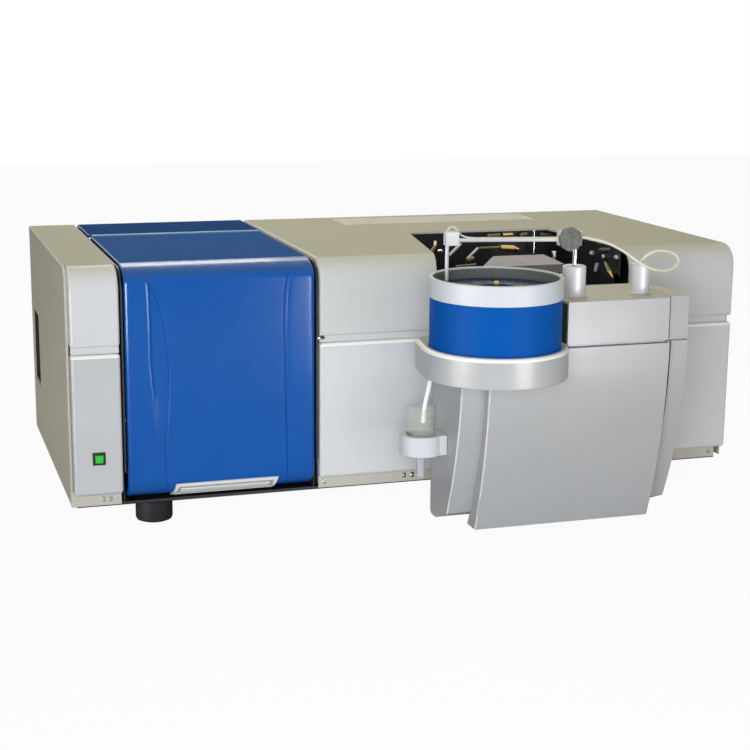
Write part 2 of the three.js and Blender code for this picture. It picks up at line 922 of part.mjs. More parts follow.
// Graphite furnace in its well

const WELL = { left: 540, right: 848, front: 17, rear: 272, wall: 2, sillGap: 5, port: 12 };
// The magnet's top plate is wider than its yoke; its corners count from the dosing hole
const FURNACE_PLATE = {
  thickness: 13,
  frontLeft: -76,
  frontRight: 57,
  rearRight: 68,
  rearLeft: -17,
  rear: 108,
};
const FURNACE = {
  x: 686,
  width: 96,
  front: 4,
  rear: 96,
  drop: 20,
  bore: 9,
  dose: 3,
  slotWidth: 40,
};
const GRAPHITE = { length: 28, radius: 4, bore: 3, dose: 1.2 };
const CONTACT = { radius: 16, depth: 20, bore: 7, flange: 22, flangeDepth: 6 };

function furnaceWell() {
  const { left, right, front, rear, wall, sillGap, port } = WELL;
  const base = benchTop + CLEARANCE;
  const { topEdgeRadius, height, skin } = HOUSING;
  const corner = topEdgeRadius - skin - CLEARANCE;
  const turn = THREE.MathUtils.radToDeg(Math.acos((front - topEdgeRadius) / corner));
  const roof = arc([topEdgeRadius, height - topEdgeRadius], corner, 90, turn);
  const body = alongX(outline([[front, base], [rear, base], [rear, roofZ], ...roof]), [left, right]);
  const inside = block(
    [left + wall, right - wall],
    [front + wall, rear - wall],
    [base + wall, roofZ + OVERRUN],
  );
  const mouth = block(
    [left - OVERRUN, right + OVERRUN],
    [front - OVERRUN, front + wall + OVERRUN],
    [sillZ - sillGap, roofZ + OVERRUN],
  );
  const beam = alongX(
    outline(circle([BEAM.y + port / 2, beamZ], port)),
    [left - OVERRUN, right + OVERRUN],
  );
  return piece("furnace_well", cut(body, inside, mouth, beam), "black");
}

function furnace() {
  const { x, width, front, rear, drop, bore, dose, slotWidth } = FURNACE;
  const { thickness, frontLeft, frontRight, rearRight, rearLeft, rear: plateRear } = FURNACE_PLATE;
  const top = HOUSING.height - drop;
  const bottom = top - thickness;
  const floor = benchTop + CLEARANCE + WELL.wall + CLEARANCE;
  const well = WELL.front + WELL.wall + CLEARANCE;
  const ledge = sillZ + CLEARANCE;
  const half = width / 2;
  const section = outline([
    [well, floor],
    [rear, floor],
    [rear, bottom],
    [front, bottom],
    [front, ledge],
    [well, ledge],
  ]);
  const corners = [
    [frontLeft, front],
    [frontRight, front],
    [rearRight, plateRear],
    [rearLeft, plateRear],
  ];
  const yoke = join(alongX(section, [-half, half]), alongZ(outline(corners), [bottom, top]));
  const beam = alongX(outline(circle([BEAM.y, beamZ], bore)), [-half - OVERRUN, half + OVERRUN]);
  const hole = alongZ(outline(circle([0, BEAM.y], dose)), [beamZ, top + OVERRUN]);
  const slot = block(
    [-slotWidth / 2, slotWidth / 2],
    [BEAM.y + bore + CONTACT.flangeDepth, rear + OVERRUN],
    [floor + slotWidth, beamZ],
  );
  const tubeHalf = GRAPHITE.length / 2;
  const shell = alongX(
    outline(
      circle([BEAM.y, beamZ], bore - CLEARANCE),
      [circle([BEAM.y, beamZ], GRAPHITE.bore).reverse()],
    ),
    [-tubeHalf, tubeHalf],
  );
  const port = alongZ(outline(circle([0, BEAM.y], GRAPHITE.dose)), [beamZ, beamZ + bore + OVERRUN]);
  const contact = (name, side) => {
    const { radius, depth, bore: hollow, flange, flangeDepth } = CONTACT;
    const start = half + CLEARANCE;
    const place = [BEAM.y, beamZ];
    const body = join(
      alongX(outline(circle(place, radius)), [start, start + depth]),
      alongX(outline(circle(place, flange)), [start, start + flangeDepth]),
    );
    const through = alongX(outline(circle(place, hollow)), [start - OVERRUN, start + depth + OVERRUN]);
    const made = cut(body, through);
    return piece(name, side > 0 ? made : made.rotateZ(Math.PI).translate(0, 2 * BEAM.y, 0), "brass");
  };
  return groupAt(
    [x, 0, 0],
    piece("furnace_magnet_block", cut(yoke, beam, hole, slot), "steel"),
    piece("graphite_tube", cut(shell, port), "graphite"),
    contact("furnace_contact_left", -1),
    contact("furnace_contact_right", 1),
  );
}

// Electronics under the bench

const SUPPLY = { left: 402, right: 560, length: 110, back: 43, height: 110 };
const BOARD = {
  left: 596,
  right: 830,
  front: 120,
  rear: 300,
  thickness: 2,
  standoff: 8,
  standoffRadius: 4,
  inset: 8,
  chip: 32,
  chipHeight: 5,
  chipShare: 0.25, // how far along the board each part starts
  sinkHeight: 28,
  sinkShare: 0.6,
};

function powerSupply() {
  const { left, right, length, back, height } = SUPPLY;
  const rear = HOUSING.depth - back;
  const body = block([left, right], [rear - length, rear], [floorZ, floorZ + height]);
  return piece("power_supply", body, "steel");
}

function circuitBoard() {
  const { left, right, front, rear, thickness, standoff, standoffRadius, inset, chip } = BOARD;
  const base = floorZ + standoff;
  const plate = block([left, right], [front, rear], [base, base + thickness]);
  const corners = [left + inset, right - inset].flatMap((x) => [
    front + inset,
    rear - inset,
  ].map((y) => [x, y]));
  const legs = corners.map((spot) => alongZ(
    outline(circle(spot, standoffRadius, 45)),
    [floorZ, base + thickness / 2],
  ));
  const part = (share, height) => {
    const x = left + (right - left) * share;
    const y = (front + rear) / 2;
    return block([x, x + chip], [y, y + chip], [base + thickness / 2, base + thickness + height]);
  };
  const chipPart = part(BOARD.chipShare, BOARD.chipHeight);
  const sink = part(BOARD.sinkShare, BOARD.sinkHeight);
  return piece("circuit_board", join(plate, ...legs, chipPart, sink), "board");
}

// Sampler case

// Bowed face: upright at the case's top, leaning back below; points from top to bottom
function bow(y, radius, top, bottom, inset = 0) {
  const drop = (z) => THREE.MathUtils.radToDeg(Math.asin((CASE.top - z) / radius));
  const angle = { from: 180 + drop(top), to: 180 + drop(bottom) };
  return arc([y + radius, CASE.top], radius - inset, angle.from, angle.to, FACET_ANGLE / 5);
}

function samplerBracket() {
  const { left, right, bottom, top, plate } = BRACKET;
  const y = [CASE.backRear + CLEARANCE, -CLEARANCE];
  const body = block([left, right], y, [bottom, top]);
  const hollow = block(
    [left + plate, right - plate],
    [y[0] + plate, y[1] - plate],
    [bottom - OVERRUN, top - plate],
  );
  return piece("sampler_bracket", cut(body, hollow), "steel");
}

const collarRight = DRUM.x + COLLAR.radius;
// The shells step down here to pass under the collar
const shoulder = (collarRight + CASE.coverLeft) / 2;

function backShell() {
  const {
    skin,
    top,
    backY,
    backBow,
    backLeft,
    backRight,
    backBottom,
    backRear,
    chamferTop,
    chamferBack,
    edgeRadius,
  } = CASE;
  const section = (inset, roof) =>
    outline([
      ...bow(backY, backBow, roof, chamferTop, inset),
      [backRear - chamferBack, backBottom + inset],
      ...arc([backRear - edgeRadius, backBottom + edgeRadius], edgeRadius - inset, -90, 0, 30),
      [backRear - inset, roof],
    ]);
  const body = alongX(section(0, top), [backLeft, backRight]);
  const low = COLLAR.bottom - CLEARANCE;
  const underCollar = block(
    [backLeft - OVERRUN, shoulder],
    [backY - OVERRUN, backRear + OVERRUN],
    [low, top + OVERRUN],
  );
  const x = [backLeft + skin, backRight - skin];
  const leftHollow = alongX(section(skin, low - skin), x);
  const rightHollow = alongX(section(skin, top - skin), [shoulder + skin, backRight - skin]);
  const window = block(
    [CASE.frontLeft + 2 * skin, CASE.frontRight - 2 * skin],
    [backY - OVERRUN, (backY + backRear) / 2],
    [chamferTop + 2 * skin, low - 2 * skin],
  );
  const rodHole = alongZ(
    outline(circle([MAST.x, MAST.y], MAST.rod + skin)),
    [top - skin - OVERRUN, top + OVERRUN],
  );
  return piece(
    "sampler_back_shell",
    cut(body, underCollar, leftHollow, rightHollow, window, rodHole),
    "panelGrey",
  );
}

function frontShell() {
  const { skin, top, frontY, frontBow, frontLeft, frontRight, frontBottom, backY, backBow } = CASE;
  const section = (inset, roof, overrun) => {
    const seat = backY - CLEARANCE + overrun;
    return outline([
      ...bow(frontY, frontBow, roof, frontBottom + inset, inset),
      ...bow(seat, backBow, roof, frontBottom + inset).reverse(),
    ]);
  };
  const body = alongX(section(0, top, 0), [frontLeft, frontRight]);
  const low = COLLAR.bottom - CLEARANCE;
  const underCollar = block([frontLeft - OVERRUN, shoulder], [frontY - OVERRUN, 0], [low, top + OVERRUN]);
  const leftHollow = alongX(section(skin, low - skin, OVERRUN), [frontLeft + skin, frontRight - skin]);
  const rightHollow = alongX(section(skin, top - skin, OVERRUN), [shoulder + skin, frontRight - skin]);
  return piece("sampler_front_shell", cut(body, underCollar, leftHollow, rightHollow), "panelGrey");
}

// The cover's outline from above, with its front right step and round rear corner
function coverPlan(inset) {
  const { coverLeft, frontRight, backRight, coverFrontY, coverStepY, backRear, coverCorner } = CASE;
  return outline([
    [coverLeft + inset, coverFrontY + inset],
    [frontRight - inset, coverFrontY + inset],
    [frontRight - inset, coverStepY + inset],
    [backRight - inset, coverStepY + inset],
    ...arc([backRight - coverCorner, backRear - coverCorner], coverCorner - inset, 0, 90),
    [coverLeft + inset, backRear - inset],
  ]);
}

function topCover() {
  const { skin, top, coverTop, coverGap } = CASE;
  const outer = alongZ(coverPlan(0), [top + coverGap, coverTop]);
  const lip = alongZ(coverPlan(skin), [top + CLEARANCE, top + coverGap + skin]);
  const hollow = alongZ(coverPlan(2 * skin), [top - OVERRUN, coverTop - skin]);
  const rodHole = alongZ(
    outline(circle([MAST.x, MAST.y], MAST.rod + RUNNING)),
    [coverTop - skin - OVERRUN, coverTop + OVERRUN],
  );
  return piece("sampler_top_cover", cut(join(outer, lip), hollow, rodHole), "panelGrey");
}

function collarPlan(inset) {
  const { radius, taper, shoulder: side, back, backWidth } = COLLAR;
  const run = (side - radius * Math.sin(radians(taper))) / Math.cos(radians(taper));
  const half = radius * Math.cos(radians(taper)) - run * Math.sin(radians(taper));
  return outline([
    ...arc([0, 0], radius - inset, 180 - taper, 270, FACET_ANGLE / 2),
    ...arc([0, 0], radius - inset, 270, 360 + taper, FACET_ANGLE / 2).slice(1),
    [half - inset, side],
    [backWidth / 2, back - inset],
    [-backWidth / 2, back - inset],
    [inset - half, side],
  ]);
}

function drumCollar() {
  const { wall, radius, bottom, top, edge, floor } = COLLAR;
  const body = hull(
    alongZ(collarPlan(0), [bottom, top - edge]),
    alongZ(collarPlan(edge), [top - edge, top]),
  );
  const pocket = alongZ(
    outline(circle([0, 0], radius - wall, FACET_ANGLE / 2)),
    [bottom + floor, top + OVERRUN],
  );
  return piece("drum_collar", cut(body, pocket), "white");
}

const TRAY = {
  radius: 84.5,
  top: 325,
  thickness: 7,
  hub: 14,
  hubDrop: 22,
  bore: 4.1,
  knob: 4.5,
  knobTop: 333,
  lid: 2,
};

function drum() {
  const { rimRadius, rimWall, rimTop, rimBottom, rimEdge, wallRadius, wall } = DRUM;
  const fine = FACET_ANGLE / 2;
  const seat = COLLAR.bottom + COLLAR.floor + CLEARANCE;
  const drumWall = alongZ(
    outline(circle([0, 0], wallRadius, fine), [circle([0, 0], wallRadius - wall, fine).reverse()]),
    [seat, rimBottom - CLEARANCE],
  );
  const inner = rimRadius - rimWall;
  const rim = turned(
    [
      [inner, rimBottom],
      [rimRadius, rimBottom],
      [rimRadius, rimTop - rimEdge],
      [rimRadius - rimEdge, rimTop],
      [inner + rimEdge, rimTop],
      [inner, rimTop - rimEdge],
      [inner, rimBottom],
    ],
    fine,
  );
  const { radius, top, thickness, hub, hubDrop, bore, knob, knobTop, lid } = TRAY;
  const low = top - thickness;
  const tray = turned([
    [0, low - lid],
    [bore, low - lid],
    [bore, low - hubDrop],
    [hub, low - hubDrop],
    [hub, low],
    [radius, low],
    [radius, top],
    [knob + lid, top],
    [knob, top + lid],
    [knob, knobTop - lid],
    [knob - lid, knobTop],
    [0, knobTop],
  ]);
  const half = MOTOR.size / 2;
  const motorBody = block([-half, half], [-half, half], [seat, seat + MOTOR.size]);
  const shaft = alongZ(outline(circle([0, 0], bore - RUNNING)), [seat, low - lid - CLEARANCE]);
  return groupAt(
    [DRUM.x, DRUM.y, 0],
    drumCollar(),
    piece("drum_wall", drumWall, "doorBlue"),
    piece("drum_rim", rim, "white"),
    piece("sample_tray", tray, "tray"),
    piece("tray_motor", join(motorBody, shaft), "graphite"),
  );
}

// Mast, arm and tubes

const armVector = new THREE.Vector2(ARM.tipX - MAST.x, ARM.tipY - MAST.y);
const reach = armVector.length();
const armAngle = armVector.angle();
const armTilt = Math.atan2(2 * ARM.rise, reach);
const armZ = CASE.coverTop + MAST.height + ARM.lift;
const hubZ = armZ - ARM.rise;
const tipZ = armZ + ARM.rise;
const deckZ = CASE.coverTop + CLEARANCE;

function mast() {
  const { x, y, radius, height, edge, rod, below } = MAST;
  const bore = rod + RUNNING;
  const sleeve = turned([
    [bore, 0],
    [radius, 0],
    [radius, height - edge],
    [radius - edge, height],
    [bore, height],
    [bore, 0],
  ]);
  const hubBottom = hubZ - ARM.hubHeight / 2 - CLEARANCE;
  return [
    piece("mast_housing", sleeve, "white", [x, y, deckZ]),
    piece(
      "mast_rod",
      alongZ(outline(circle([0, 0], rod)), [deckZ - below, hubBottom]),
      "chrome",
      [x, y, 0],
    ),
  ];
}

function samplerArm() {
  const {
    rod,
    rodDrop,
    hubLength,
    hubWidth,
    hubHeight,
    block: size,
    blockDepth,
    blockBack,
    needle,
    needleEnd,
  } = ARM;
  const hubBack = hubWidth / 2;
  const hub = join(
    alongZ(outline(circle([0, 0], hubBack)), [-hubHeight / 2, hubHeight / 2]),
    block([0, hubLength - hubBack], [-hubWidth / 2, hubWidth / 2], [-hubHeight / 2, hubHeight / 2]),
  );
  const rise = tipZ - hubZ;
  const middle = reach - blockBack;
  const beam = alongX(outline(circle([0, -rodDrop], rod)), [0, middle]).rotateY(-armTilt);
  const tip = block(
    [middle - size / 2, middle + size / 2],
    [-blockDepth / 2, blockDepth / 2],
    [rise - size / 2, rise + size / 2],
  );
  const needleBore = alongZ(outline(circle([reach, 0], needle + CLEARANCE)), [rise - size, rise + size]);
  const { radius, thickness, lobes, lobeDepth, stem, along } = KNOB;
  const socket = alongY(outline(circle([along, 0], stem + RUNNING)), [0, hubWidth]);
  const arm = piece("sampler_arm", cut(join(hub, beam, tip), needleBore, socket), "white");

  const blockTop = rise + size / 2;
  const needleTube = alongZ(
    outline(circle([reach, 0], needle)),
    [needleEnd - hubZ, blockTop + ARM.needleProud],
  );
  const route = ARM_TUBE.map(([x, y, z]) => vec(reach + x, y, blockTop + z));
  const needlePiece = piece(
    "sampling_needle",
    join(needleTube, sweep(route, TUBE.thin / 2, TUBE_FACETS.thin)),
    "white",
  );

  const grip = circle([0, 0], radius, 360 / (4 * lobes)).map(([x, z], k) => {
    const share = k % 4 < 2 ? 1 : 1 - lobeDepth / radius;
    return [x * share, z * share];
  });
  const face = hubWidth / 2 + CLEARANCE;
  const knob = join(
    alongY(outline(grip), [face, face + thickness]),
    alongY(outline(circle([0, 0], stem)), [2 * CLEARANCE, face + thickness / 2]),
  );
  const group = groupAt(
    [MAST.x, MAST.y, hubZ],
    arm,
    needlePiece,
    piece("arm_clamp_knob", knob, "knobGrey", [along, 0, 0]),
  );
  group.rotation.z = armAngle;
  return group;
}

function dispenserPost() {
  const { x, y, radius, height, edge } = POST;
  const post = turned([
    [0, 0],
    [radius, 0],
    [radius, height - edge],
    [radius - edge, height],
    [0, height],
  ]);
  return piece("dispenser_post", post, "white", [x, y, deckZ]);
}

// The free tube runs from the hub over the post's top, round one loop and into the post
const FREE_TUBE = [
  [701, -155.3, 381.5],
  [711, -157, 379.3],
  [721, -160, 377.2],
  [735, -164, 372.5],
  [746, -167, 366.9],
  [755.5, -170, 361.2],
  [767, -173, 352.8],
  [777.5, -174.4, 345.6],
  [793.5, -174, 337.8],
  [811.5, -170, 333],
  [830.5, -164, 332.9],
  [844, -158.5, 338],
  [847.5, -155.5, 345],
  [840, -155, 353.6],
  [825, -156, 358.6],
  [809, -157, 358.5],
  [796.5, -158, 353.5],
  [790, -158, 348],
];

function freeTube() {
  const start = vec(MAST.x + ARM.hubWidth / 2 + 2 * CLEARANCE, MAST.y, hubZ);
  const end = vec(POST.x, POST.y, deckZ + POST.height + CLEARANCE);
  const line = [
    start,
    ...FREE_TUBE.map((point) => vec(...point)),
    end.clone().add(vec(0, 0, TUBE.thick / 2)),
    end,
  ];
  return piece("free_capillary", sweep(line, TUBE.thick / 2, TUBE_FACETS.thick), "white");
}

// The rinse tube's route inside the cup's group, from the collar down into the cup
const RINSE_TUBE = [
  [13, -2, 193],
  [10.5, -1, 174],
  [5, 0, 146],
  [3, 0, 122],
];

// Rinse cup in its holder on the case's left side

function rinseCup() {
  const {
    x,
    y,
    radius,
    wall,
    bottom,
    top,
    holderRadius,
    holderBottom,
    holderTop,
    armFront,
    armBack,
    spigot,
    spigotEnd,
  } = CUP;
  const seat = radius + 2 * CLEARANCE;
  const face = CASE.backLeft - CLEARANCE - x;
  const ringBody = alongZ(outline(circle([0, 0], holderRadius)), [holderBottom, holderTop]);
  const mount = block([0, face], [-armFront, armBack], [holderBottom, holderTop]);
  const drain = alongZ(outline(circle([0, 0], spigot)), [spigotEnd, holderBottom + wall]);
  const pocket = alongZ(outline(circle([0, 0], seat)), [bottom - CLEARANCE, holderTop + OVERRUN]);
  const trim = block(
    [face, face + holderRadius],
    [-holderRadius, holderRadius],
    [0, holderTop + OVERRUN],
  );
  const cup = turned([
    [0, bottom],
    [radius - wall, bottom],
    [radius, bottom + wall],
    [radius, top],
    [radius - wall, top],
    [radius - wall, bottom + 2 * wall],
    [0, bottom + 2 * wall],
  ]);
  const tubeTop = COLLAR.bottom - CLEARANCE;
  const route = [[13, -2, tubeTop], ...RINSE_TUBE].map((point) => vec(...point));
  return groupAt(
    [x, y, 0],
    piece("rinse_cup_holder", cut(join(ringBody, mount, drain), pocket, trim), "white"),
    piece("rinse_cup", cup, "glass"),
    piece("rinse_tube", sweep(route, TUBE.rinse / 2, TUBE_FACETS.rinse), "white"),
  );
}

// Assembly

const housing = [
  baseChassis(),
  ...feet(),
  leftSidePanel(),
  sideRecessTray(),
  leftUpperFrontPanel(),
  leftLowerFrontPanel(),
  powerButton(),
  ...bayWalls(),
  lampDoor(),
  doorHandleLip(),
  doorHingeRod(),
  rearBlueCover(),
  rightTopCover(),
  rightLowerFrontPanel(),
  rightSidePanel(),
  topVentGrille(),
  rearPanel(),
  powerInlet(),
  fan(),
];

const insides = [
  lampTurret(),
  opticalBench(),
  ...monochromator(),
  furnaceWell(),
  furnace(),
  powerSupply(),
  circuitBoard(),
];

const sampler = [
  samplerBracket(),
  backShell(),
  frontShell(),
  topCover(),
  drum(),
  ...mast(),
  samplerArm(),
  dispenserPost(),
  freeTube(),
  rinseCup(),
];

const middle = [-HOUSING.width / 2, -(collarFront + HOUSING.depth) / 2, FOOT.height];
const spectrometer = groupAt(middle, ...housing, ...insides, ...sampler);

export default spectrometer;
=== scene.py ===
"""Looks of the bench spectrometer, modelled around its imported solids.

Shapes are written in millimetres of the instrument's own frame: x counts from the
housing's left end, y from its front plane towards the rear, z from its lower edge.
"""

import logging
import math
from collections.abc import Callable, Iterable, Sequence
from dataclasses import dataclass
from enum import Enum

import bmesh
import bpy
from mathutils import Matrix, Vector


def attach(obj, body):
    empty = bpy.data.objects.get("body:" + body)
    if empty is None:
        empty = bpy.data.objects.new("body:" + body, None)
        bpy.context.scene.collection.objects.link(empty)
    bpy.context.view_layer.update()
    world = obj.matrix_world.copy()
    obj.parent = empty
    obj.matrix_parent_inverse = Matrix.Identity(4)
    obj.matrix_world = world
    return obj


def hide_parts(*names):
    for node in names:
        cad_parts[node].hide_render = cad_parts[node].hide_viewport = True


Triple = tuple[float, float, float]
Quad = tuple[float, float, float, float]
Pair = tuple[float, float]
FaceTest = Callable[[bpy.types.MeshPolygon], bool]
EdgeTest = Callable[[Vector, Vector], bool]

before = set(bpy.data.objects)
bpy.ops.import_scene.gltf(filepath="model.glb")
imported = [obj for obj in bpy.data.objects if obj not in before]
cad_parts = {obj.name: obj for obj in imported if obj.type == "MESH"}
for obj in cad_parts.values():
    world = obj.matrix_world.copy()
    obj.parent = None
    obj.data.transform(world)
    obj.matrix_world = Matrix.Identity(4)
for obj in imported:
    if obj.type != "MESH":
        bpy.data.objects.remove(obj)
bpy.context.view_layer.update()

MM = 0.001
ORIGIN = (-0.515, -0.0985, 0.042)
PLACE = Matrix.Translation(ORIGIN) @ Matrix.Scale(MM, 4)
FULL_TURN = 2.0 * math.pi
QUARTER = 0.5 * math.pi
SHARP_ANGLE = math.radians(32.0)
FLAT_ANGLE = math.radians(1.5)
FAR = 600.0
TINY = 0.01
WHITE_LIGHT = (1.0, 1.0, 1.0)
SPECKLE_SHARE = 0.35
CLOUD_LOW, CLOUD_HIGH = 0.32, 0.68
DUST_FROM, DUST_FULL = 0.993, 0.9994
BRUSH_STRETCH = 0.03
# Face slopes of the rounded edges that take the painted highlight.
LEAST_RISE, MOST_RISE = 0.12, 0.98
LEAST_LEFT, MOST_LEFT = 0.25, 0.96
LEAST_FRONT, MOST_TILT = 0.2, 0.5

log = logging.getLogger("spectrometer")


class Axis(Enum):
    """The axes that turned forms stand on."""

    Y = Vector((0.0, 1.0, 0.0))
    Z = Vector((0.0, 0.0, 1.0))


class Body(Enum):
    """The bodies that pieces ride on."""

    INSTRUMENT = "instrument"
    DOOR = "lamp_door"
    BUTTON = "power_button"
    TURRET = "lamp_turret"
    TRAY = "sample_tray"
    MAST = "mast"
    ARM = "sampler_arm"
    KNOB = "clamp_knob"
    CUP = "rinse_cup"
    FAN = "fan_rotor"
    GRATING = "grating"


class Role(Enum):
    """What a lamp does."""

    SHADE = "shade"
    GLINT = "glint"
    BOTH = "both"


class Texture(Enum):
    """How a surface's fine relief runs."""

    MOULDED = "moulded"
    POWDER = "powder"
    BRUSHED = "brushed"
    SMOOTH = "smooth"


def place_object(name: str, data: bpy.types.ID) -> bpy.types.Object:
    """Make an object of some data and link it to the scene."""
    obj = bpy.data.objects.new(name, data)
    bpy.context.scene.collection.objects.link(obj)
    return obj


def applied(obj: bpy.types.Object) -> bpy.types.Mesh:
    """Return an object's shape as a new mesh, with its modifiers applied."""
    bpy.context.view_layer.update()
    return bpy.data.meshes.new_from_object(obj.evaluated_get(bpy.context.evaluated_depsgraph_get()))


def round_curve(name: str, radius: float, resolution: int, steps: int) -> bpy.types.Curve:
    """Return an empty curve with a round section and closed ends.

    Args:
        name: The curve's name.
        radius: The radius of its section.
        resolution: The fineness of its section.
        steps: The parts that each of its spans is drawn in.

    Returns:
        The curve.
    """
    curve = bpy.data.curves.new(name, "CURVE")
    curve.dimensions = "3D"
    curve.bevel_depth = radius
    curve.bevel_resolution = resolution
    curve.resolution_u = steps
    curve.use_fill_caps = True
    return curve


class Graph:
    """A node tree under construction."""

    def __init__(self, tree: bpy.types.NodeTree) -> None:
        """Take a tree."""
        self.tree = tree

    def add(self, kind: str, inputs: dict[str | int, object], **settings: object) -> bpy.types.Node:
        """Add a shader node.

        Args:
            kind: The node's kind, without the prefix that all kinds share.
            inputs: What each input takes.
            settings: The node's own settings.

        Returns:
            The node.
        """
        node = self.tree.nodes.new(f"ShaderNode{kind}")
        for key, value in settings.items():
            setattr(node, key, value)
        self.feed(node, inputs)
        return node

    def feed(self, node: bpy.types.Node, inputs: dict[str | int, object]) -> None:
        """Set a node's inputs to values, or link them to other nodes' outputs."""
        for key, value in inputs.items():
            if isinstance(value, bpy.types.NodeSocket):
                self.tree.links.new(value, node.inputs[key])
            else:
                node.inputs[key].default_value = value


@dataclass(frozen=True)
class Finish:
    """One surface finish, drawn with procedural nodes on Object coordinates.

    Lengths are in metres. The mottle is the share by which the colour varies.
    """

    name: str
    colour: Triple
    roughness: float
    metallic: float = 0.0
    specular: float = 0.5
    transmission: float = 0.0
    ior: float = 1.45
    texture: Texture = Texture.MOULDED
    grain: float = 0.0011
    relief: float = 0.05
    mottle: float = 0.03
    mottle_size: float = 0.09
    roughness_spread: float = 0.06
    glow: float = 0.0
    dust: float = 0.0

    def material(self) -> bpy.types.Material:
        """Return the material of this finish, made on its first use."""
        known = bpy.data.materials.get(self.name)
        if known is not None:
            return known
        made = bpy.data.materials.new(self.name)
        made.use_nodes = True
        graph = Graph(made.node_tree)
        shader = made.node_tree.nodes["Principled BSDF"]
        place = graph.add("TexCoord", {}).outputs["Object"]
        graph.feed(shader, {
            "Metallic": self.metallic,
            "Specular IOR Level": self.specular,
            "IOR": self.ior,
            "Transmission Weight": self.transmission,
            "Base Color": self._tint(graph, place),
            "Roughness": self._gloss(graph, place),
        })
        if self.glow > 0.0:
            graph.feed(shader, {"Emission Color": (*self.colour, 1.0), "Emission Strength": self.glow})
        if self.texture is not Texture.SMOOTH:
            graph.feed(shader, {"Normal": self._relief(graph, place)})
        return made

    def _noise(self, graph: Graph, place: bpy.types.NodeSocket, size: float,
               detail: float) -> bpy.types.NodeSocket:
        """Add a noise pattern.

        Args:
            graph: The material's nodes.
            place: The coordinates that the pattern reads.
            size: The size of its cells in metres.
            detail: The number of finer layers.

        Returns:
            The pattern's factor output.
        """
        return graph.add("TexNoise", {"Scale": 1.0 / size, "Detail": detail, "Vector": place}).outputs["Fac"]

    def _tint(self, graph: Graph, place: bpy.types.NodeSocket) -> bpy.types.NodeSocket:
        """Return the base colour: broad clouding plus a fine speckle."""
        blend = graph.add("Mix", {"Factor": SPECKLE_SHARE,
                                  "A": self._noise(graph, place, self.mottle_size, 3.0),
                                  "B": self._noise(graph, place, self.grain * 3.0, 2.0)})
        ramp = graph.add("ValToRGB", {"Fac": blend.outputs["Result"]})
        low, high = ramp.color_ramp.elements
        low.position, high.position = CLOUD_LOW, CLOUD_HIGH
        low.color = (*(c * (1.0 - self.mottle) for c in self.colour), 1.0)
        high.color = (*(min(1.0, c * (1.0 + self.mottle)) for c in self.colour), 1.0)
        return ramp.outputs["Color"]

    def _gloss(self, graph: Graph, place: bpy.types.NodeSocket) -> bpy.types.NodeSocket:
        """Return the roughness: patches vary a little, and dust dulls the faces that look up."""
        spread = graph.add("MapRange", {
            "Value": self._noise(graph, place, self.mottle_size * 0.5, 4.0),
            "To Min": max(0.02, self.roughness - self.roughness_spread),
            "To Max": min(1.0, self.roughness + self.roughness_spread),
        }).outputs["Result"]
        if self.dust == 0.0:
            return spread
        facing = graph.add("SeparateXYZ", {"Vector": graph.add("TexCoord", {}).outputs["Normal"]})
        settled = graph.add("MapRange", {"Value": facing.outputs["Z"], "From Min": DUST_FROM,
                                         "From Max": DUST_FULL, "To Max": self.dust},
                            interpolation_type="SMOOTHSTEP")
        total = graph.add("Math", {0: spread, 1: settled.outputs["Result"]}, operation="ADD", use_clamp=True)
        return total.outputs["Value"]

    def _relief(self, graph: Graph, place: bpy.types.NodeSocket) -> bpy.types.NodeSocket:
        """Return the normal: moulded grain, powder coat or upright brush lines."""
        if self.texture is Texture.BRUSHED:
            stretch = graph.add("Mapping", {"Scale": (1.0, 1.0, BRUSH_STRETCH), "Vector": place})
            place = stretch.outputs["Vector"]
        height = self._noise(graph, place, self.grain, 5.0 if self.texture is Texture.POWDER else 2.0)
        bump = graph.add("Bump", {"Strength": self.relief, "Distance": self.grain, "Height": height})
        return bump.outputs["Normal"]


PANEL = Finish("panel_plastic", (0.60, 0.61, 0.635), 0.42, specular=0.3, mottle=0.012, relief=0.04,
               dust=0.5)
CASE_GREY = Finish("case_plastic", (0.365, 0.37, 0.385), 0.34, specular=0.45, mottle=0.012, relief=0.04,
                   dust=0.5)
COLLAR_WHITE = Finish("collar_plastic", (0.41, 0.415, 0.43), 0.34, specular=0.4, mottle=0.012, relief=0.03,
                      dust=0.4)
# A darker, warmer copy of the grey sheet paint for sides, rear and strips: painted shade.
SHEET_SHADED = Finish("sheet_paint_shaded", (0.50, 0.48, 0.425), 0.45, specular=0.15, texture=Texture.POWDER,
               grain=0.0016, relief=0.06, mottle=0.02, mottle_size=0.16, dust=0.5)
HOLDER = Finish("holder_plastic", (0.58, 0.60, 0.64), 0.4, specular=0.2, mottle=0.012)
BLUE = Finish("blue_plastic", (0.006, 0.086, 0.37), 0.19, specular=0.22, mottle=0.05, relief=0.02,
              dust=0.75)
WHITE = Finish("arm_plastic", (0.74, 0.75, 0.76), 0.32, specular=0.35, mottle=0.012, relief=0.02)
RIM_WHITE = Finish("rim_plastic", (0.58, 0.61, 0.65), 0.45, specular=0.3, mottle=0.012, relief=0.02)
GROOVE = Finish("groove_plastic", (0.58, 0.58, 0.60), 0.6)
BLACK = Finish("black_paint", (0.012, 0.012, 0.014), 0.42, texture=Texture.POWDER, relief=0.12, mottle=0.25)
RUBBER = Finish("black_rubber", (0.012, 0.011, 0.014), 0.6, specular=0.25, texture=Texture.POWDER,
                relief=0.1, mottle=0.2)
KEY_GREEN = Finish("lit_green", (0.02, 0.42, 0.03), 0.25, glow=0.25, texture=Texture.SMOOTH)
SATIN = Finish("satin_alloy", (0.72, 0.73, 0.75), 0.3, metallic=1.0, texture=Texture.BRUSHED, grain=0.0006)
STEEL = Finish("brushed_steel", (0.50, 0.50, 0.51), 0.34, metallic=1.0, texture=Texture.BRUSHED,
               grain=0.0007, relief=0.08, mottle=0.05)
CHROME = Finish("bright_steel", (0.78, 0.78, 0.80), 0.12, metallic=1.0, texture=Texture.SMOOTH, mottle=0.02)
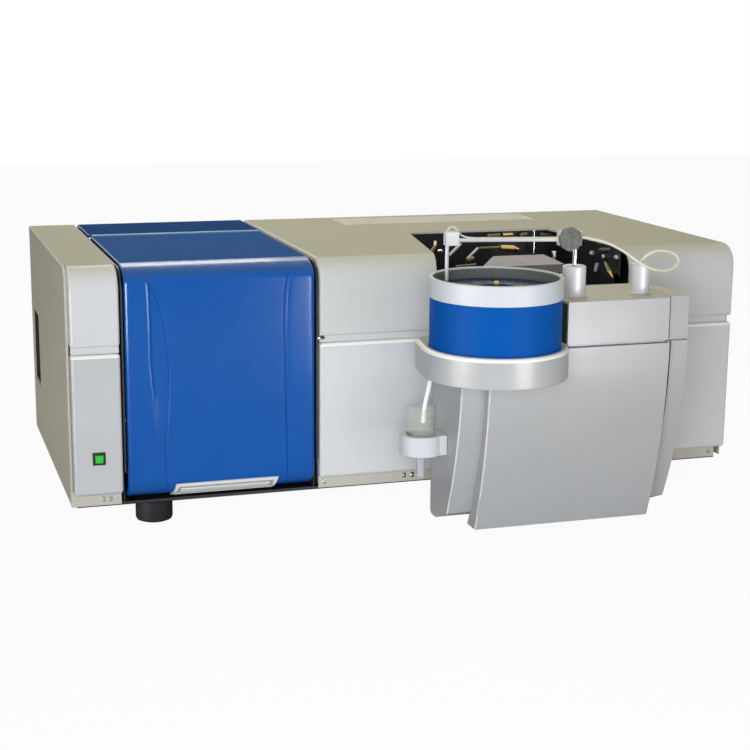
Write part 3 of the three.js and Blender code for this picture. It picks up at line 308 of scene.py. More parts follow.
BRASS = Finish("brass", (0.62, 0.42, 0.14), 0.3, metallic=1.0, texture=Texture.BRUSHED, grain=0.0006,
               relief=0.06, mottle=0.08)
MAUVE = Finish("grey_cast_plate", (0.20, 0.18, 0.185), 0.5, metallic=0.4, texture=Texture.POWDER,
               relief=0.12, mottle=0.08)
GRAPHITE = Finish("graphite", (0.045, 0.045, 0.048), 0.5, metallic=0.3, texture=Texture.POWDER, mottle=0.2)
CASTING = Finish("cast_alloy", (0.42, 0.43, 0.45), 0.5, metallic=0.7, texture=Texture.POWDER, grain=0.002,
                 relief=0.15, mottle=0.06)
BOARD_GREEN = Finish("solder_mask", (0.02, 0.16, 0.06), 0.3, mottle=0.15, mottle_size=0.02)
# The tray's own navy, with a strong blotchy mottle that is painted reflection.
NAVY_WITH_REFLECTIONS = Finish("navy_gloss_painted_reflections", (0.004, 0.022, 0.075), 0.36, specular=0.2, mottle=0.7, mottle_size=0.03,
              texture=Texture.SMOOTH)
# Dark grey-green for the sleeve inside the drum's rim: painted shade on its inner wall.
RIM_SHADE = Finish("rim_painted_shade", (0.15, 0.165, 0.155), 0.5, specular=0.2, mottle=0.05)
GLASS = Finish("clear_glass", (0.93, 0.96, 0.97), 0.04, transmission=1.0, ior=1.47, mottle=0.01,
               roughness_spread=0.02, texture=Texture.SMOOTH)
CUP_PLASTIC = Finish("cup_plastic", (0.88, 0.91, 0.87), 0.12, transmission=0.9, ior=1.3, mottle=0.01,
                     texture=Texture.SMOOTH)
DRAIN = Finish("drain_plastic", (0.40, 0.40, 0.45), 0.35, mottle=0.02, texture=Texture.SMOOTH)
ANODISED = Finish("anodised_alloy", (0.62, 0.62, 0.64), 0.5, metallic=0.25, texture=Texture.BRUSHED,
                  grain=0.0006, relief=0.04)
OLIVE = Finish("olive_bronze", (0.17, 0.15, 0.08), 0.4, metallic=0.6, texture=Texture.POWDER, relief=0.1,
               mottle=0.3, mottle_size=0.01)
TUBE = Finish("milky_tube", (0.72, 0.70, 0.60), 0.3, mottle=0.02, texture=Texture.SMOOTH)
WHITE_TUBE = Finish("white_tube", (0.86, 0.87, 0.88), 0.3, mottle=0.02, texture=Texture.SMOOTH)
KNOB_GREY = Finish("mottled_knob", (0.16, 0.165, 0.155), 0.6, specular=0.08, texture=Texture.POWDER,
                   relief=0.2, mottle=0.35, mottle_size=0.008)
MIRROR = Finish("ruled_mirror", (0.88, 0.89, 0.92), 0.06, metallic=1.0, texture=Texture.BRUSHED,
                grain=0.0004, relief=0.04)
SHEET_TOP = Finish("cover_paint", (0.60, 0.605, 0.615), 0.45, specular=0.12, texture=Texture.POWDER,
                   grain=0.0014, relief=0.04, mottle=0.015, mottle_size=0.16, dust=0.5)
GRILLE = Finish("grille_paint", (0.80, 0.79, 0.77), 0.5, mottle=0.02)
# Pale paint for rounded edges: a painted highlight.
EDGE_HIGHLIGHT = Finish("painted_edge_highlight", (0.86, 0.86, 0.82), 0.4, specular=0.4)
# A darker copy of the panel plastic for the left lower panel: painted shade.
PANEL_SHADED = Finish("lower_panel_painted_shade", (0.50, 0.51, 0.535), 0.42, specular=0.3, dust=0.3)
# A warmer, lighter copy of the case plastic for the cover's flat top: painted light.
COVER_ROOF_LIT = Finish("case_roof_painted_light", (0.51, 0.49, 0.43), 0.45, specular=0.3)
# Paint for pale tubes along the shells' left edges: painted highlight.
BEAD_HIGHLIGHT = Finish("painted_highlight_plastic", (0.60, 0.605, 0.60), 0.4, specular=0.4)
# Near-black paint for the thin tube in the step between the shells: painted shade.
STEP_SHADE = Finish("step_painted_shade", (0.07, 0.07, 0.075), 0.7, specular=0.1)
# A darker copy of the door's blue for the rear roof cover: painted shade for the dark reflection on its top.
BLUE_SHADED = Finish("blue_cover_painted_shade", (0.002, 0.055, 0.25), 0.2, specular=0.1, mottle=0.05, dust=0.75)
BLUE_SATIN = Finish("blue_hinge_plastic", (0.02, 0.12, 0.38), 0.45, specular=0.7, mottle=0.05, relief=0.02)
# Dark beige for the bed under the grip, showing in its grooves: painted shade.
GRIP_GROOVE_SHADE = Finish("grip_groove_painted_shade", (0.36, 0.35, 0.27), 0.5, mottle=0.04)
BLUE_GLOSS = Finish("blue_drum_plastic", (0.001, 0.080, 0.36), 0.5, specular=0.04, mottle=0.04, relief=0.02)


class Form:
    """A mesh under construction, in millimetres of the instrument's frame."""

    def __init__(self) -> None:
        """Start with nothing."""
        self.bm = bmesh.new()

    @classmethod
    def box(cls, low: Triple, high: Triple) -> "Form":
        """Return a block between two corners."""
        form = cls()
        size = Vector(high) - Vector(low)
        middle = (Vector(high) + Vector(low)) * 0.5
        matrix = Matrix.Translation(middle) @ Matrix.Diagonal((*size, 1.0))
        bmesh.ops.create_cube(form.bm, size=1.0, matrix=matrix)
        return form

    @classmethod
    def rod(cls, start: Triple, end: Triple, radius: float, tip: float | None = None,
            segments: int = 40) -> "Form":
        """Return a round bar, or a cone frustum where a tip radius is given."""
        form = cls()
        a, b = Vector(start), Vector(end)
        turn = (b - a).to_track_quat("Z", "Y").to_matrix().to_4x4()
        matrix = Matrix.Translation((a + b) * 0.5) @ turn
        bmesh.ops.create_cone(form.bm, cap_ends=True, segments=segments, radius1=radius,
                              radius2=radius if tip is None else tip, depth=(b - a).length, matrix=matrix)
        return form

    @classmethod
    def turned(cls, profile: Sequence[Pair], foot: Triple, axis: Axis = Axis.Z, steps: int = 96) -> "Form":
        """Return a lathe form.

        Args:
            profile: Radius and height of each point, as one open or closed line.
            foot: The point on the axis that heights count from.
            axis: The axis of the lathe.
            steps: The number of facets round it.

        Returns:
            The turned form.
        """
        form = cls()
        chain = [form.bm.verts.new((r, 0.0, h)) for r, h in profile]
        edges = [form.bm.edges.new(pair) for pair in zip(chain, chain[1:])]
        bmesh.ops.spin(form.bm, geom=[*chain, *edges], cent=(0, 0, 0), axis=(0, 0, 1), dvec=(0, 0, 0),
                       angle=FULL_TURN, steps=steps, use_merge=True)
        bmesh.ops.remove_doubles(form.bm, verts=form.bm.verts[:], dist=TINY * 0.1)
        bmesh.ops.recalc_face_normals(form.bm, faces=form.bm.faces[:])
        turn = Axis.Z.value.rotation_difference(axis.value).to_matrix().to_4x4()
        return form.move(Matrix.Translation(foot) @ turn)

    @classmethod
    def prism(cls, outline: Sequence[Triple], along: Triple) -> "Form":
        """Return a flat outline pushed along a vector."""
        form = cls()
        face = form.bm.faces.new([form.bm.verts.new(p) for p in outline])
        grown = bmesh.ops.extrude_face_region(form.bm, geom=[face])
        moved = [v for v in grown["geom"] if isinstance(v, bmesh.types.BMVert)]
        bmesh.ops.translate(form.bm, verts=moved, vec=along)
        bmesh.ops.recalc_face_normals(form.bm, faces=form.bm.faces[:])
        return form

    @classmethod
    def tube(cls, points: Sequence[Sequence[float]], radius: float, sides: int) -> "Form":
        """Return a round tube along points, drawn by a spline with one step for each span."""
        curve = round_curve("route", radius, max(1, sides // 4), 1)
        spline = curve.splines.new("NURBS")
        spline.points.add(len(points) - 1)
        for slot, p in zip(spline.points, points):
            slot.co = (*p, 1.0)
        spline.use_endpoint_u = True
        spline.order_u = 4
        holder = place_object("route", curve)
        mesh = applied(holder)
        form = cls()
        form.bm.from_mesh(mesh)
        bpy.data.objects.remove(holder)
        bpy.data.meshes.remove(mesh)
        return form

    def move(self, matrix: Matrix) -> "Form":
        """Move, turn or scale the whole form."""
        bmesh.ops.transform(self.bm, matrix=matrix, verts=self.bm.verts[:])
        return self

    def shift(self, x: float = 0.0, y: float = 0.0, z: float = 0.0) -> "Form":
        """Move the whole form sideways."""
        return self.move(Matrix.Translation((x, y, z)))

    def join(self, *others: "Form") -> "Form":
        """Add other forms to this mesh as they are."""
        for other in others:
            mesh = bpy.data.meshes.new("part")
            other.bm.to_mesh(mesh)
            self.bm.from_mesh(mesh)
            bpy.data.meshes.remove(mesh)
        return self

    def round(self, radius: float, test: EdgeTest | None = None, segments: int = 4,
              angle: float = SHARP_ANGLE) -> "Form":
        """Round sharp edges.

        Args:
            radius: The radius of the rounding.
            test: Which edges are rounded, or all of them.
            segments: The facets of the rounding.
            angle: The least angle between an edge's faces.

        Returns:
            This form.
        """
        chosen = [
            e for e in self.bm.edges
            if len(e.link_faces) == 2 and e.calc_face_angle(0.0) > angle
            and (test is None or test(e.verts[0].co, e.verts[1].co))
        ]
        if chosen:
            bmesh.ops.bevel(self.bm, geom=chosen, offset=radius, offset_type="OFFSET", segments=segments,
                            profile=0.5, affect="EDGES", clamp_overlap=True, material=-1)
        return self

    def _combine(self, others: Iterable["Form"], operation: str) -> "Form":
        """Cut or merge other forms exactly, through Blender's Boolean modifier."""
        holders = []
        for form in (self, *others):
            mesh = bpy.data.meshes.new("solid")
            form.bm.to_mesh(mesh)
            holders.append(place_object("solid", mesh))
        body = holders[0]
        for tool in holders[1:]:
            step = body.modifiers.new("step", "BOOLEAN")
            step.operation = operation
            step.solver = "EXACT"
            step.object = tool
        mesh = applied(body)
        self.bm.clear()
        self.bm.from_mesh(mesh)
        for holder in holders:
            old = holder.data
            bpy.data.objects.remove(holder)
            bpy.data.meshes.remove(old)
        bpy.data.meshes.remove(mesh)
        return self

    def minus(self, *tools: "Form") -> "Form":
        """Cut other forms out of this one."""
        return self._combine(tools, "DIFFERENCE")

    def plus(self, *others: "Form") -> "Form":
        """Merge other forms into this one."""
        return self._combine(others, "UNION")

    def piece(self, name: str, finish: Finish, body: Body = Body.INSTRUMENT, *,
              replaces: Sequence[str] = (), slot: str | None = None, flat: bool = False) -> bpy.types.Object:
        """Turn the form into a finished piece of the scene.

        Args:
            name: The piece's name.
            finish: Its finish.
            body: The body that it rides on.
            replaces: The CAD nodes that it stands for.
            slot: The record's material slot; not used.
            flat: Whether its facets stay flat.

        Returns:
            The object.
        """
        self.move(PLACE)
        mesh = bpy.data.meshes.new(name)
        self.bm.to_mesh(mesh)
        self.bm.free()
        if not flat:
            mesh.shade_smooth()
            mesh.set_sharp_from_angle(angle=SHARP_ANGLE)
        obj = place_object(name, mesh)
        mesh.materials.append(finish.material())
        if not flat:
            weight = obj.modifiers.new("even_shading", "WEIGHTED_NORMAL")
            weight.keep_sharp = True
        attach(obj, body.value)
        if replaces:
            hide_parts(*replaces)
        log.info("piece %s rides on %s with %d faces", name, body.value, len(mesh.polygons))
        return obj

    @classmethod
    def of_node(cls, node: str) -> "Form":
        """Return a copy of a CAD solid, its loose triangles merged into clean faces."""
        form = cls()
        form.bm.from_mesh(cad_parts[node].data)
        bmesh.ops.remove_doubles(form.bm, verts=form.bm.verts[:], dist=TINY * MM)
        form.move(PLACE.inverted())
        bmesh.ops.dissolve_limit(form.bm, angle_limit=FLAT_ANGLE, verts=form.bm.verts[:],
                                 edges=form.bm.edges[:])
        return form


def dress(node: str, finish: Finish, body: Body = Body.INSTRUMENT, radius: float = 0.6,
          segments: int = 2) -> bpy.types.Object:
    """Stand a copy of a CAD solid with rounded edges in for its node.

    Args:
        node: The node's name.
        finish: The finish of the copy.
        body: The body that the node rides on.
        radius: The rounding of its sharp edges.
        segments: The facets of the rounding.

    Returns:
        The object.
    """
    form = Form.of_node(node).round(radius, segments=segments)
    return form.piece(f"{node}_body", finish, body, replaces=[node])


def repaint(obj: bpy.types.Object, finish: Finish, test: FaceTest) -> None:
    """Give some of a piece's faces a second finish.

    Args:
        obj: The piece.
        finish: The second finish.
        test: Says whether a face takes it.
    """
    obj.data.materials.append(finish.material())
    for face in obj.data.polygons:
        if test(face):
            face.material_index = len(obj.data.materials) - 1


def highlighted_upper_edge(face: bpy.types.MeshPolygon) -> bool:
    """Say whether a face slopes as a rounded upper edge does, where the painted highlight goes.

    Args:
        face: The face.

    Returns:
        Whether it does.
    """
    return LEAST_RISE < face.normal.z < MOST_RISE


def highlighted_left_edge(face: bpy.types.MeshPolygon) -> bool:
    """Say whether a face belongs to a rounded upright edge on the left, where the painted highlight goes.

    Args:
        face: The face.

    Returns:
        Whether it does.
    """
    return (-MOST_LEFT < face.normal.x < -LEAST_LEFT and face.normal.y < -LEAST_FRONT
            and abs(face.normal.z) < MOST_TILT)


def spans(axis: int, least: float) -> EdgeTest:
    """Return the test for edges that run further than some length along an axis."""
    return lambda a, b: abs(a[axis] - b[axis]) > least


def arc(centre: Pair, radius: float, start: float, turn: float, steps: int) -> list[Pair]:
    """Return points on an arc.

    Args:
        centre: The arc's centre.
        radius: Its radius.
        start: The angle that it starts at.
        turn: The angle that it turns through.
        steps: The number of its parts.

    Returns:
        The points, with both ends.
    """
    angles = (start + turn * k / steps for k in range(steps + 1))
    return [(centre[0] + radius * math.cos(a), centre[1] + radius * math.sin(a)) for a in angles]


def between(start: float, end: float, parts: int) -> list[Pair]:
    """Return the inner points of a level run that is split into equal parts."""
    return [(start + (end - start) * k / parts, 0.0) for k in range(1, parts)]


def held(share: float) -> float:
    """Return a share held between nought and one."""
    return max(0.0, min(1.0, share))


@dataclass
class Studio:
    """The camera, the lamps, the world and the floor. Lengths are in metres."""

    camera_place: Triple = (-0.756, -2.2605, 0.708)
    yaw: float = 17.59
    pitch: float = 12.4
    roll: float = 0.48
    lens: float = 76.03
    sensor: float = 36.0
    floor_half: float = 6.0
    far_clip: float = 50.0
    ambient: Triple = (1.0, 0.965, 0.85)
    ambient_strength: float = 0.20
    floor_grey: float = 0.8
    floor_veil: float = 0.95

    def build(self) -> None:
        """Set up everything that isn't part of the object."""
        self._camera()
        self._lamp("front_lamp", (-1.00, -2.20, 0.62), (0.06, 0.0, 0.13), (1.2, 0.9), 14.4, (0.94, 0.97, 1.0),
                   spread=math.radians(110.0), role=Role.SHADE)
        self._lamp("roof_lamp", (-0.05, 0.22, 1.9), (0.0, 0.12, 0.3), (1.4, 1.2), 8.8, (1.0, 0.90, 0.38),
                   role=Role.SHADE)
        self._lamp("low_fill", (0.15, -1.30, 0.05), (0.14, -0.20, 0.10), (1.0, 0.06), 1.45, (0.95, 0.97, 1.0),
                   spread=math.radians(120.0), role=Role.SHADE)
        self._lamp("left_lamp", (-2.1, -0.3, 0.5), (-0.5, 0.1, 0.2), (0.4, 0.9), 2.0, (1.0, 0.95, 0.87))
        self._lamp("rear_strip", (0.0, 1.7, 1.45), (0.0, 0.0, 0.36), (2.2, 0.10), 6.0, (1.0, 0.96, 0.84))
        self._lamp("right_strip", (2.3, -0.5, 0.4), (0.0, -0.1, 0.25), (0.18, 0.8), 1.6)
        for name, place, aim, size, power in (
                ("crest_glint", (-0.22, 1.7, 1.34), (-0.30, -0.05, 0.38), (1.0, 0.5), 5.2),
                ("left_glint", (-1.73, -0.83, 0.13), (-0.42, -0.10, 0.13), (1.0, 0.24), 38.0),
                ("right_glint", (0.46, -1.33, 0.13), (-0.40, -0.10, 0.13), (0.5, 0.24), 10.0)):
            self._lamp(name, place, aim, size, power, role=Role.GLINT)
        self._world()
        self._floor()
        bpy.context.scene.view_settings.view_transform = "Standard"

    def _camera(self) -> None:
        """Set the camera at the photograph's viewing angle."""
        yaw, pitch, roll = (math.radians(angle) for angle in (self.yaw, self.pitch, self.roll))
        level = math.cos(pitch)
        ahead = Vector((math.sin(yaw) * level, math.cos(yaw) * level, -math.sin(pitch)))
        right = Vector((math.cos(yaw), -math.sin(yaw), 0.0))
        up = right.cross(ahead)
        rolled_right = math.cos(roll) * right + math.sin(roll) * up
        rolled_up = math.cos(roll) * up - math.sin(roll) * right
        turn = Matrix((rolled_right, rolled_up, -ahead)).transposed().to_4x4()
        data = bpy.data.cameras.new("camera")
        data.lens = self.lens
        data.sensor_width = self.sensor
        data.clip_end = self.far_clip
        camera = place_object("camera", data)
        camera.matrix_world = Matrix.Translation(self.camera_place) @ turn
        bpy.context.scene.camera = camera

    def _lamp(self, name: str, place: Triple, aim: Triple, size: Pair, power: float,
              colour: Triple = WHITE_LIGHT, spread: float = math.pi, role: Role = Role.BOTH) -> None:
        """Add a soft oblong lamp that the camera doesn't see.

        Args:
            name: The lamp's name.
            place: Where it stands.
            aim: The point it faces.
            size: Its width and height.
            power: Its power in watts.
            colour: Its colour.
            spread: The angle of its beam.
            role: What it does: shade surfaces, glint in glossy ones, or both.
        """
        data = bpy.data.lights.new(name, "AREA")
        data.shape = "RECTANGLE"
        data.size, data.size_y = size
        data.energy = power
        data.color = colour
        data.spread = spread
        lamp = place_object(name, data)
        turn = (Vector(aim) - Vector(place)).to_track_quat("-Z", "Y").to_matrix().to_4x4()
        lamp.matrix_world = Matrix.Translation(place) @ turn
        lamp.visible_camera = False
        lamp.visible_glossy = role is not Role.SHADE
        lamp.visible_diffuse = role is not Role.GLINT

    def _world(self) -> None:
        """Light the scene dimly, and show plain white to the camera, metal and glass."""
        world = bpy.data.worlds.new("studio")
        bpy.context.scene.world = world
        world.use_nodes = True
        graph = Graph(world.node_tree)
        graph.tree.nodes.clear()
        rays = graph.add("LightPath", {}).outputs
        seen = rays["Is Camera Ray"]
        for other in (rays["Is Glossy Ray"], rays["Is Transmission Ray"]):
            seen = graph.add("Math", {0: seen, 1: other}, operation="MAXIMUM").outputs["Value"]
        dim = graph.add("Background", {"Color": (*self.ambient, 1.0), "Strength": self.ambient_strength})
        plain = graph.add("Background", {"Color": (*WHITE_LIGHT, 1.0)})
        mix = graph.add("MixShader", {"Fac": seen, 1: dim.outputs["Background"],
                                      2: plain.outputs["Background"]})
        graph.add("OutputWorld", {"Surface": mix.outputs["Shader"]})

    def _floor(self) -> None:
        """Lay the pale floor, which keeps a soft shadow."""
        shape = bmesh.new()
        bmesh.ops.create_grid(shape, x_segments=1, y_segments=1, size=self.floor_half)
        mesh = bpy.data.meshes.new("floor")
        shape.to_mesh(mesh)
        shape.free()
        floor = place_object("floor", mesh)
        made = bpy.data.materials.new("floor")
        made.use_nodes = True
        graph = Graph(made.node_tree)
        graph.tree.nodes.clear()
        matt = graph.add("BsdfDiffuse", {"Color": (*[self.floor_grey] * 3, 1.0)})
        bright = graph.add("Emission", {})
        seen = graph.add("LightPath", {}).outputs["Is Camera Ray"]
        share = graph.add("Math", {0: seen, 1: self.floor_veil}, operation="MULTIPLY")
        mix = graph.add("MixShader", {"Fac": share.outputs["Value"], 1: matt.outputs["BSDF"],
                                      2: bright.outputs["Emission"]})
        graph.add("OutputMaterial", {"Surface": mix.outputs["Shader"]})
        mesh.materials.append(made)


@dataclass
class Cabinet:
    """The housing: moulded front panels, folded sheets, roof covers, seam and feet."""

    width: float = 1030.0
    depth: float = 498.0
    height: float = 340.0
    skin: float = 3.0
    crest: float = 33.0
    edge: float = 5.2
    end_width: float = 73.0
    left_wall: float = 4.0
    flange_y: float = 18.0
    flange_crest: float = 20.0
    lip_back: float = 39.0
    right_start: float = 361.0
    seam_bottom: float = 219.0
    seam_top: float = 229.0
    seam_rise: float = 7.0
    seam_depths: Quad = (10.5, 8.0, 7.5, 5.6)
    seam_screw: Triple = (358.4, -0.4, 226.8)
    screw_length: float = 6.0
    screw_radii: Pair = (2.3, 1.5)
    plug_offset: float = 7.0
    plug_radii: Pair = (2.7, 2.5)
    pad_bottom: float = 16.5
    pad_back: float = 15.0
    lap: float = 14.0
    panel_gap: float = 0.2
    sheet: float = 2.5
    sheet_round: float = 2.0
    key_window: Triple = (31.0, 47.6, 31.0)
    opening: tuple[Pair, ...] = ((538.0, -9.0), (850.0, -9.0), (850.0, 0.0), (826.0, 265.0),
                                 (584.0, 265.0), (538.0, 0.0))
    sill: float = 262.0
    vent: Quad = (513.0, 863.0, 386.0, 484.0)
    recess: Quad = (392.0, 482.0, 90.0, 208.0)
    recess_depth: float = 30.0
    recess_start: float = 2.7
    recess_lip: float = 5.0
    recess_wall: float = 2.0
    recess_floor: float = 25.0
    grille_margin: float = 4.0
    grille_pitch: float = 4.8
    grille_bar: float = 1.15
    grille_sunk: float = 1.4
    strip_span: Quad = (12.0, 14.0, -1.5, 22.0)
    strip_fold: Pair = (17.5, 0.5)
    foot_radius: float = 27.0
    foot_height: float = 42.0
    foot_inset: Pair = (125.0, 60.0)
    latch_half: float = 3.0
    latch_span: Quad = (10.6, 12.2, 4.0, 12.0)
    latch_screw: Pair = (10.8, 8.0)
    screw_head: tuple[Pair, ...] = ((0.0, -1.4), (1.6, -1.2), (2.2, -0.5), (2.2, 0.6))
    latch_places: tuple[float, ...] = (46.0, 55.0, 370.0, 495.0, 508.0, 518.0, 1008.0)

    def build(self) -> None:
        """Build the housing's own pieces."""
        self._left_end()
        self._right_section()
        self._seam()
        self._understrips()
        self._side_recess()
        self._vent()
        self._feet()
        dress("base_chassis", BLACK, radius=0.8)
        dress("rear_panel", SHEET_SHADED, radius=0.6)

    def _crest_test(self, front: float, top: float) -> EdgeTest:
        """Return the test for the long top edge at the front."""
        def test(a: Vector, b: Vector) -> bool:
            """Say whether an edge's two ends lie on the crest."""
            return all(abs(p.y - front) < TINY and abs(p.z - top) < TINY for p in (a, b))
        return test

    def _pad(self, low: Triple, high: Triple, crest: float = 0.0) -> Form:
        """Return a hollow moulded panel, open at its back."""
        form = Form.box(low, high)
        wall = self.skin
        core = Form.box((low[0] + wall, low[1] + wall, low[2] + wall),
                        (high[0] - wall, high[1] + FAR, high[2] - wall))
        if crest > 0.0:
            form.round(crest, self._crest_test(low[1], high[2]), segments=14)
            core.round(crest - wall, self._crest_test(low[1] + wall, high[2] - wall), segments=14)
        form.round(self.edge, lambda a, b: not (a.y > high[1] - TINY and b.y > high[1] - TINY))
        return form.minus(core)

    def _left_end(self) -> None:
        """Build the left end: two front panels before a folded side and roof."""
        gap, sheet = self.panel_gap, self.sheet
        upper = self._pad((self.left_wall, 0.0, self.seam_top),
                          (self.end_width, self.lip_back - gap, self.height), self.crest)
        upper.piece("left_upper_pad", PANEL, replaces=["left_upper_front_panel"])
        key_low, key_high, key_rise = self.key_window
        lower = self._pad((self.left_wall, 0.0, self.pad_bottom),
                          (self.end_width, self.pad_back, self.seam_bottom))
        lower.minus(Form.box((key_low, -1.0, key_low + key_rise), (key_high, 6.0, key_high + key_rise)))
        # The left lower panel takes the darker copy of the panel plastic: painted shade.
        low_pad = lower.piece("left_lower_pad", PANEL_SHADED, replaces=["left_lower_front_panel"])
        # Its rounded upper edges take the pale paint: painted highlight.
        repaint(low_pad, EDGE_HIGHLIGHT, highlighted_upper_edge)
        body = Form.box((0.0, self.flange_y, 0.0), (self.end_width, self.depth, self.height))
        core = Form.box((sheet, self.flange_y + sheet, -1.0), (FAR, self.depth + 1.0, self.height - sheet))
        body.round(self.flange_crest, self._crest_test(self.flange_y, self.height), segments=12)
        core.round(self.flange_crest - sheet, self._crest_test(self.flange_y + sheet, self.height - sheet),
                   segments=12)
        body.round(self.sheet_round,
                   lambda a, b: max(a.x, b.x) < self.end_width - 1.0 or min(a.y, b.y) > self.depth - 1.0)
        front, rear, bottom, top = self.recess
        window = Form.box((-5.0, front, bottom), (5.0, rear, top)).round(6.0, spans(0, 5.0))
        before = Form.box((self.left_wall - gap, 0.0, -1.0), (self.end_width + 1.0, self.lip_back, FAR))
        body.minus(core, window, before)
        folded = body.piece("left_side_sheet", SHEET_SHADED, replaces=["left_side_panel"])
        # The folded sheet's roof faces take the lighter grey cover paint while its sides keep the darker warm
        # copy: painted light and shade on one sheet.
        repaint(folded, SHEET_TOP, lambda face: face.normal.z > 0.6)

    def _right_section(self) -> None:
        """Build the right section: its roof cover, lower front panel and side sheet."""
        start, wall = self.right_start, self.skin
        cover = Form.box((start, 0.0, self.seam_top), (self.width, self.depth, self.height))
        cover.round(self.crest, self._crest_test(0.0, self.height), segments=14)
        cover.round(self.edge, lambda a, b: max(a.z, b.z) > self.seam_top + TINY or max(a.y, b.y) < TINY
                    or abs(a.z - b.z) > 1.0)
        core = Form.box((start + wall, wall, self.seam_top + wall),
                        (self.width - wall, self.depth - wall, self.height - wall))
        core.round(self.crest - wall, self._crest_test(wall, self.height - wall), segments=14)
        below = Form.box((start - 5.0, self.lap, self.seam_top - 5.0),
                         (self.width + 5.0, self.depth + 5.0, self.height - self.lap))
        mouth = Form.prism([(x, y, self.sill) for x, y in self.opening], (0.0, 0.0, 2.0 * self.lap + 60.0))
        left, right, front, rear = self.vent
        vent = Form.box((left, front, self.sill), (right, rear, FAR)).round(5.0, spans(2, 5.0))
        cover.minus(core, below, mouth, vent)
        cover.piece("right_roof_cover", SHEET_TOP, replaces=["right_top_cover"])
        lower = self._pad((start, 0.0, self.pad_bottom), (self.width, self.pad_back, self.seam_bottom))
        low_pad = lower.piece("right_lower_pad", PANEL, replaces=["right_lower_front_panel"])
        # Its rounded upper edges take the pale paint: painted highlight.
        repaint(low_pad, EDGE_HIGHLIGHT, highlighted_upper_edge)
        dress("right_side_panel", SHEET_SHADED, radius=0.8)

    def _seam(self) -> None:
        """Back the groove between the upper and lower panels."""
        rear, ledge, lip, front = self.seam_depths
        high, low = self.seam_top + self.seam_rise, self.seam_bottom + 0.1
        section = ((rear, high), (ledge, high), (lip, self.seam_top), (front, low), (rear, low))
        for name, x0, x1 in (("left_seam_backing", self.left_wall + 1.0, self.end_width - 1.0),
                             ("right_seam_backing", self.right_start + 1.0, self.width - 6.0)):
            strip = Form.prism([(x0, y, z) for y, z in section], (x1 - x0, 0.0, 0.0)).round(0.6)
            strip.piece(name, GROOVE, slot="panel_grey")
        x, y, z = self.seam_screw
        back = y + self.screw_length
        screw = Form.rod((x, back, z), (x, y, z), *self.screw_radii)
        screw.piece("seam_screw", CHROME, slot="steel")
        x += self.plug_offset
        plug = Form.rod((x, back, z), (x, y + 1.0, z), *self.plug_radii)
        plug.piece("seam_plug", BLACK, slot="black_plastic")

    def _understrips(self) -> None:
        """Hang the set-back strips below the front panels, with their latches."""
        front, rear, low, high = self.strip_span
        strips = (("left_understrip", 0.5, self.end_width - 2.0),
                  ("right_understrip", self.right_start + 1.0, self.width - 12.0))
        for name, x0, x1 in strips:
            strip = Form.box((x0, front, low), (x1, rear, high))
            fold = Form.box((x0, front, low), (x1, *self.strip_fold))
            strip.plus(fold).round(0.7)
            strip.piece(name, SHEET_SHADED, slot="sheet_beige")
        half = self.latch_half
        front, rear, low, high = self.latch_span
        for index, x in enumerate(self.latch_places, 1):
            plate = Form.box((x - half, front, low), (x + half, rear, high)).round(0.5)
            plate.join(Form.turned(self.screw_head, (x, *self.latch_screw), Axis.Y, 20))
            plate.piece(f"front_latch_{index}", CHROME, slot="steel")

    def _side_recess(self) -> None:
        """Sink the lifting recess into the left side."""
        front, rear, bottom, top = self.recess
        lip, wall, start = self.recess_lip, self.recess_wall, self.recess_start

        def at_bottom(a: Vector, b: Vector) -> bool:
            """Say whether an edge lies at the recess's inner end."""
            return min(a.x, b.x) > self.recess_floor

        cup = Form.box((start, front - wall, bottom - wall),
                       (start + self.recess_depth, rear + wall, top + wall))
        rim = Form.box((start, front - lip, bottom - lip), (start + wall, rear + lip, top + lip))
        hollow = Form.box((start - 5.0, front, bottom), (start + self.recess_depth - wall, rear, top))
        hollow.round(6.0, spans(0, 5.0)).round(3.0, at_bottom)
        cup.round(5.0, at_bottom)
        cup.plus(rim).minus(hollow)
        cup.piece("recess_cup", BLACK, replaces=["side_recess_tray"])

    def _vent(self) -> None:
        """Lay the perforated grille over the roof's vent window."""
        left, right, front, rear = self.vent
        margin, pitch, sunk = self.grille_margin, self.grille_pitch, self.grille_sunk
        form = Form()
        columns, rows = round((right - left) / pitch), round((rear - front) / pitch)
        bmesh.ops.create_grid(form.bm, x_segments=columns, y_segments=rows, size=0.5,
                              matrix=Matrix.Translation(((left + right) / 2, (front + rear) / 2,
                                                         self.height - sunk))
                              @ Matrix.Diagonal((right - left - 0.6, rear - front - 0.6, 1.0, 1.0)))
        inner = [f for f in form.bm.faces
                 if left + margin < f.calc_center_median().x < right - margin
                 and front + margin < f.calc_center_median().y < rear - margin]
        bmesh.ops.inset_individual(form.bm, faces=inner, thickness=self.grille_bar, depth=0.0)
        bmesh.ops.delete(form.bm, geom=inner, context="FACES")
        bmesh.ops.solidify(form.bm, geom=form.bm.faces[:], thickness=1.2)
        flange = Form.box((left - 5.0, front - 5.0, self.height - 5.6),
                          (right + 5.0, rear + 5.0, self.height - 3.3))
        flange.minus(Form.box((left + 1.0, front + 1.0, 300.0), (right - 1.0, rear - 1.0, FAR)))
        form.join(flange)
        form.piece("roof_grille", GRILLE, replaces=["top_vent_grille"], flat=True)

    def _feet(self) -> None:
        """Stand the cabinet on four rubber feet."""
        radius, height = self.foot_radius, self.foot_height
        profile = [(0.0, -height), (radius - 5.0, -height), (radius - 1.5, -height + 1.5),
                   (radius, -height + 5.0), (radius, -11.0), (radius - 1.2, -10.0), (radius - 1.2, -8.6),
                   (radius, -7.6), (radius, -5.6), (radius - 0.6, -5.2), (0.0, -5.2)]
        across, deep = self.foot_inset
        for side, x in (("left", across), ("right", self.width - across)):
            for end, y in (("front", deep), ("rear", self.depth - deep)):
                foot = Form.turned(profile, (x, y, 0.0), steps=72)
                foot.piece(f"{end}_{side}_rubber_foot", RUBBER, replaces=[f"foot_{end}_{side}"])


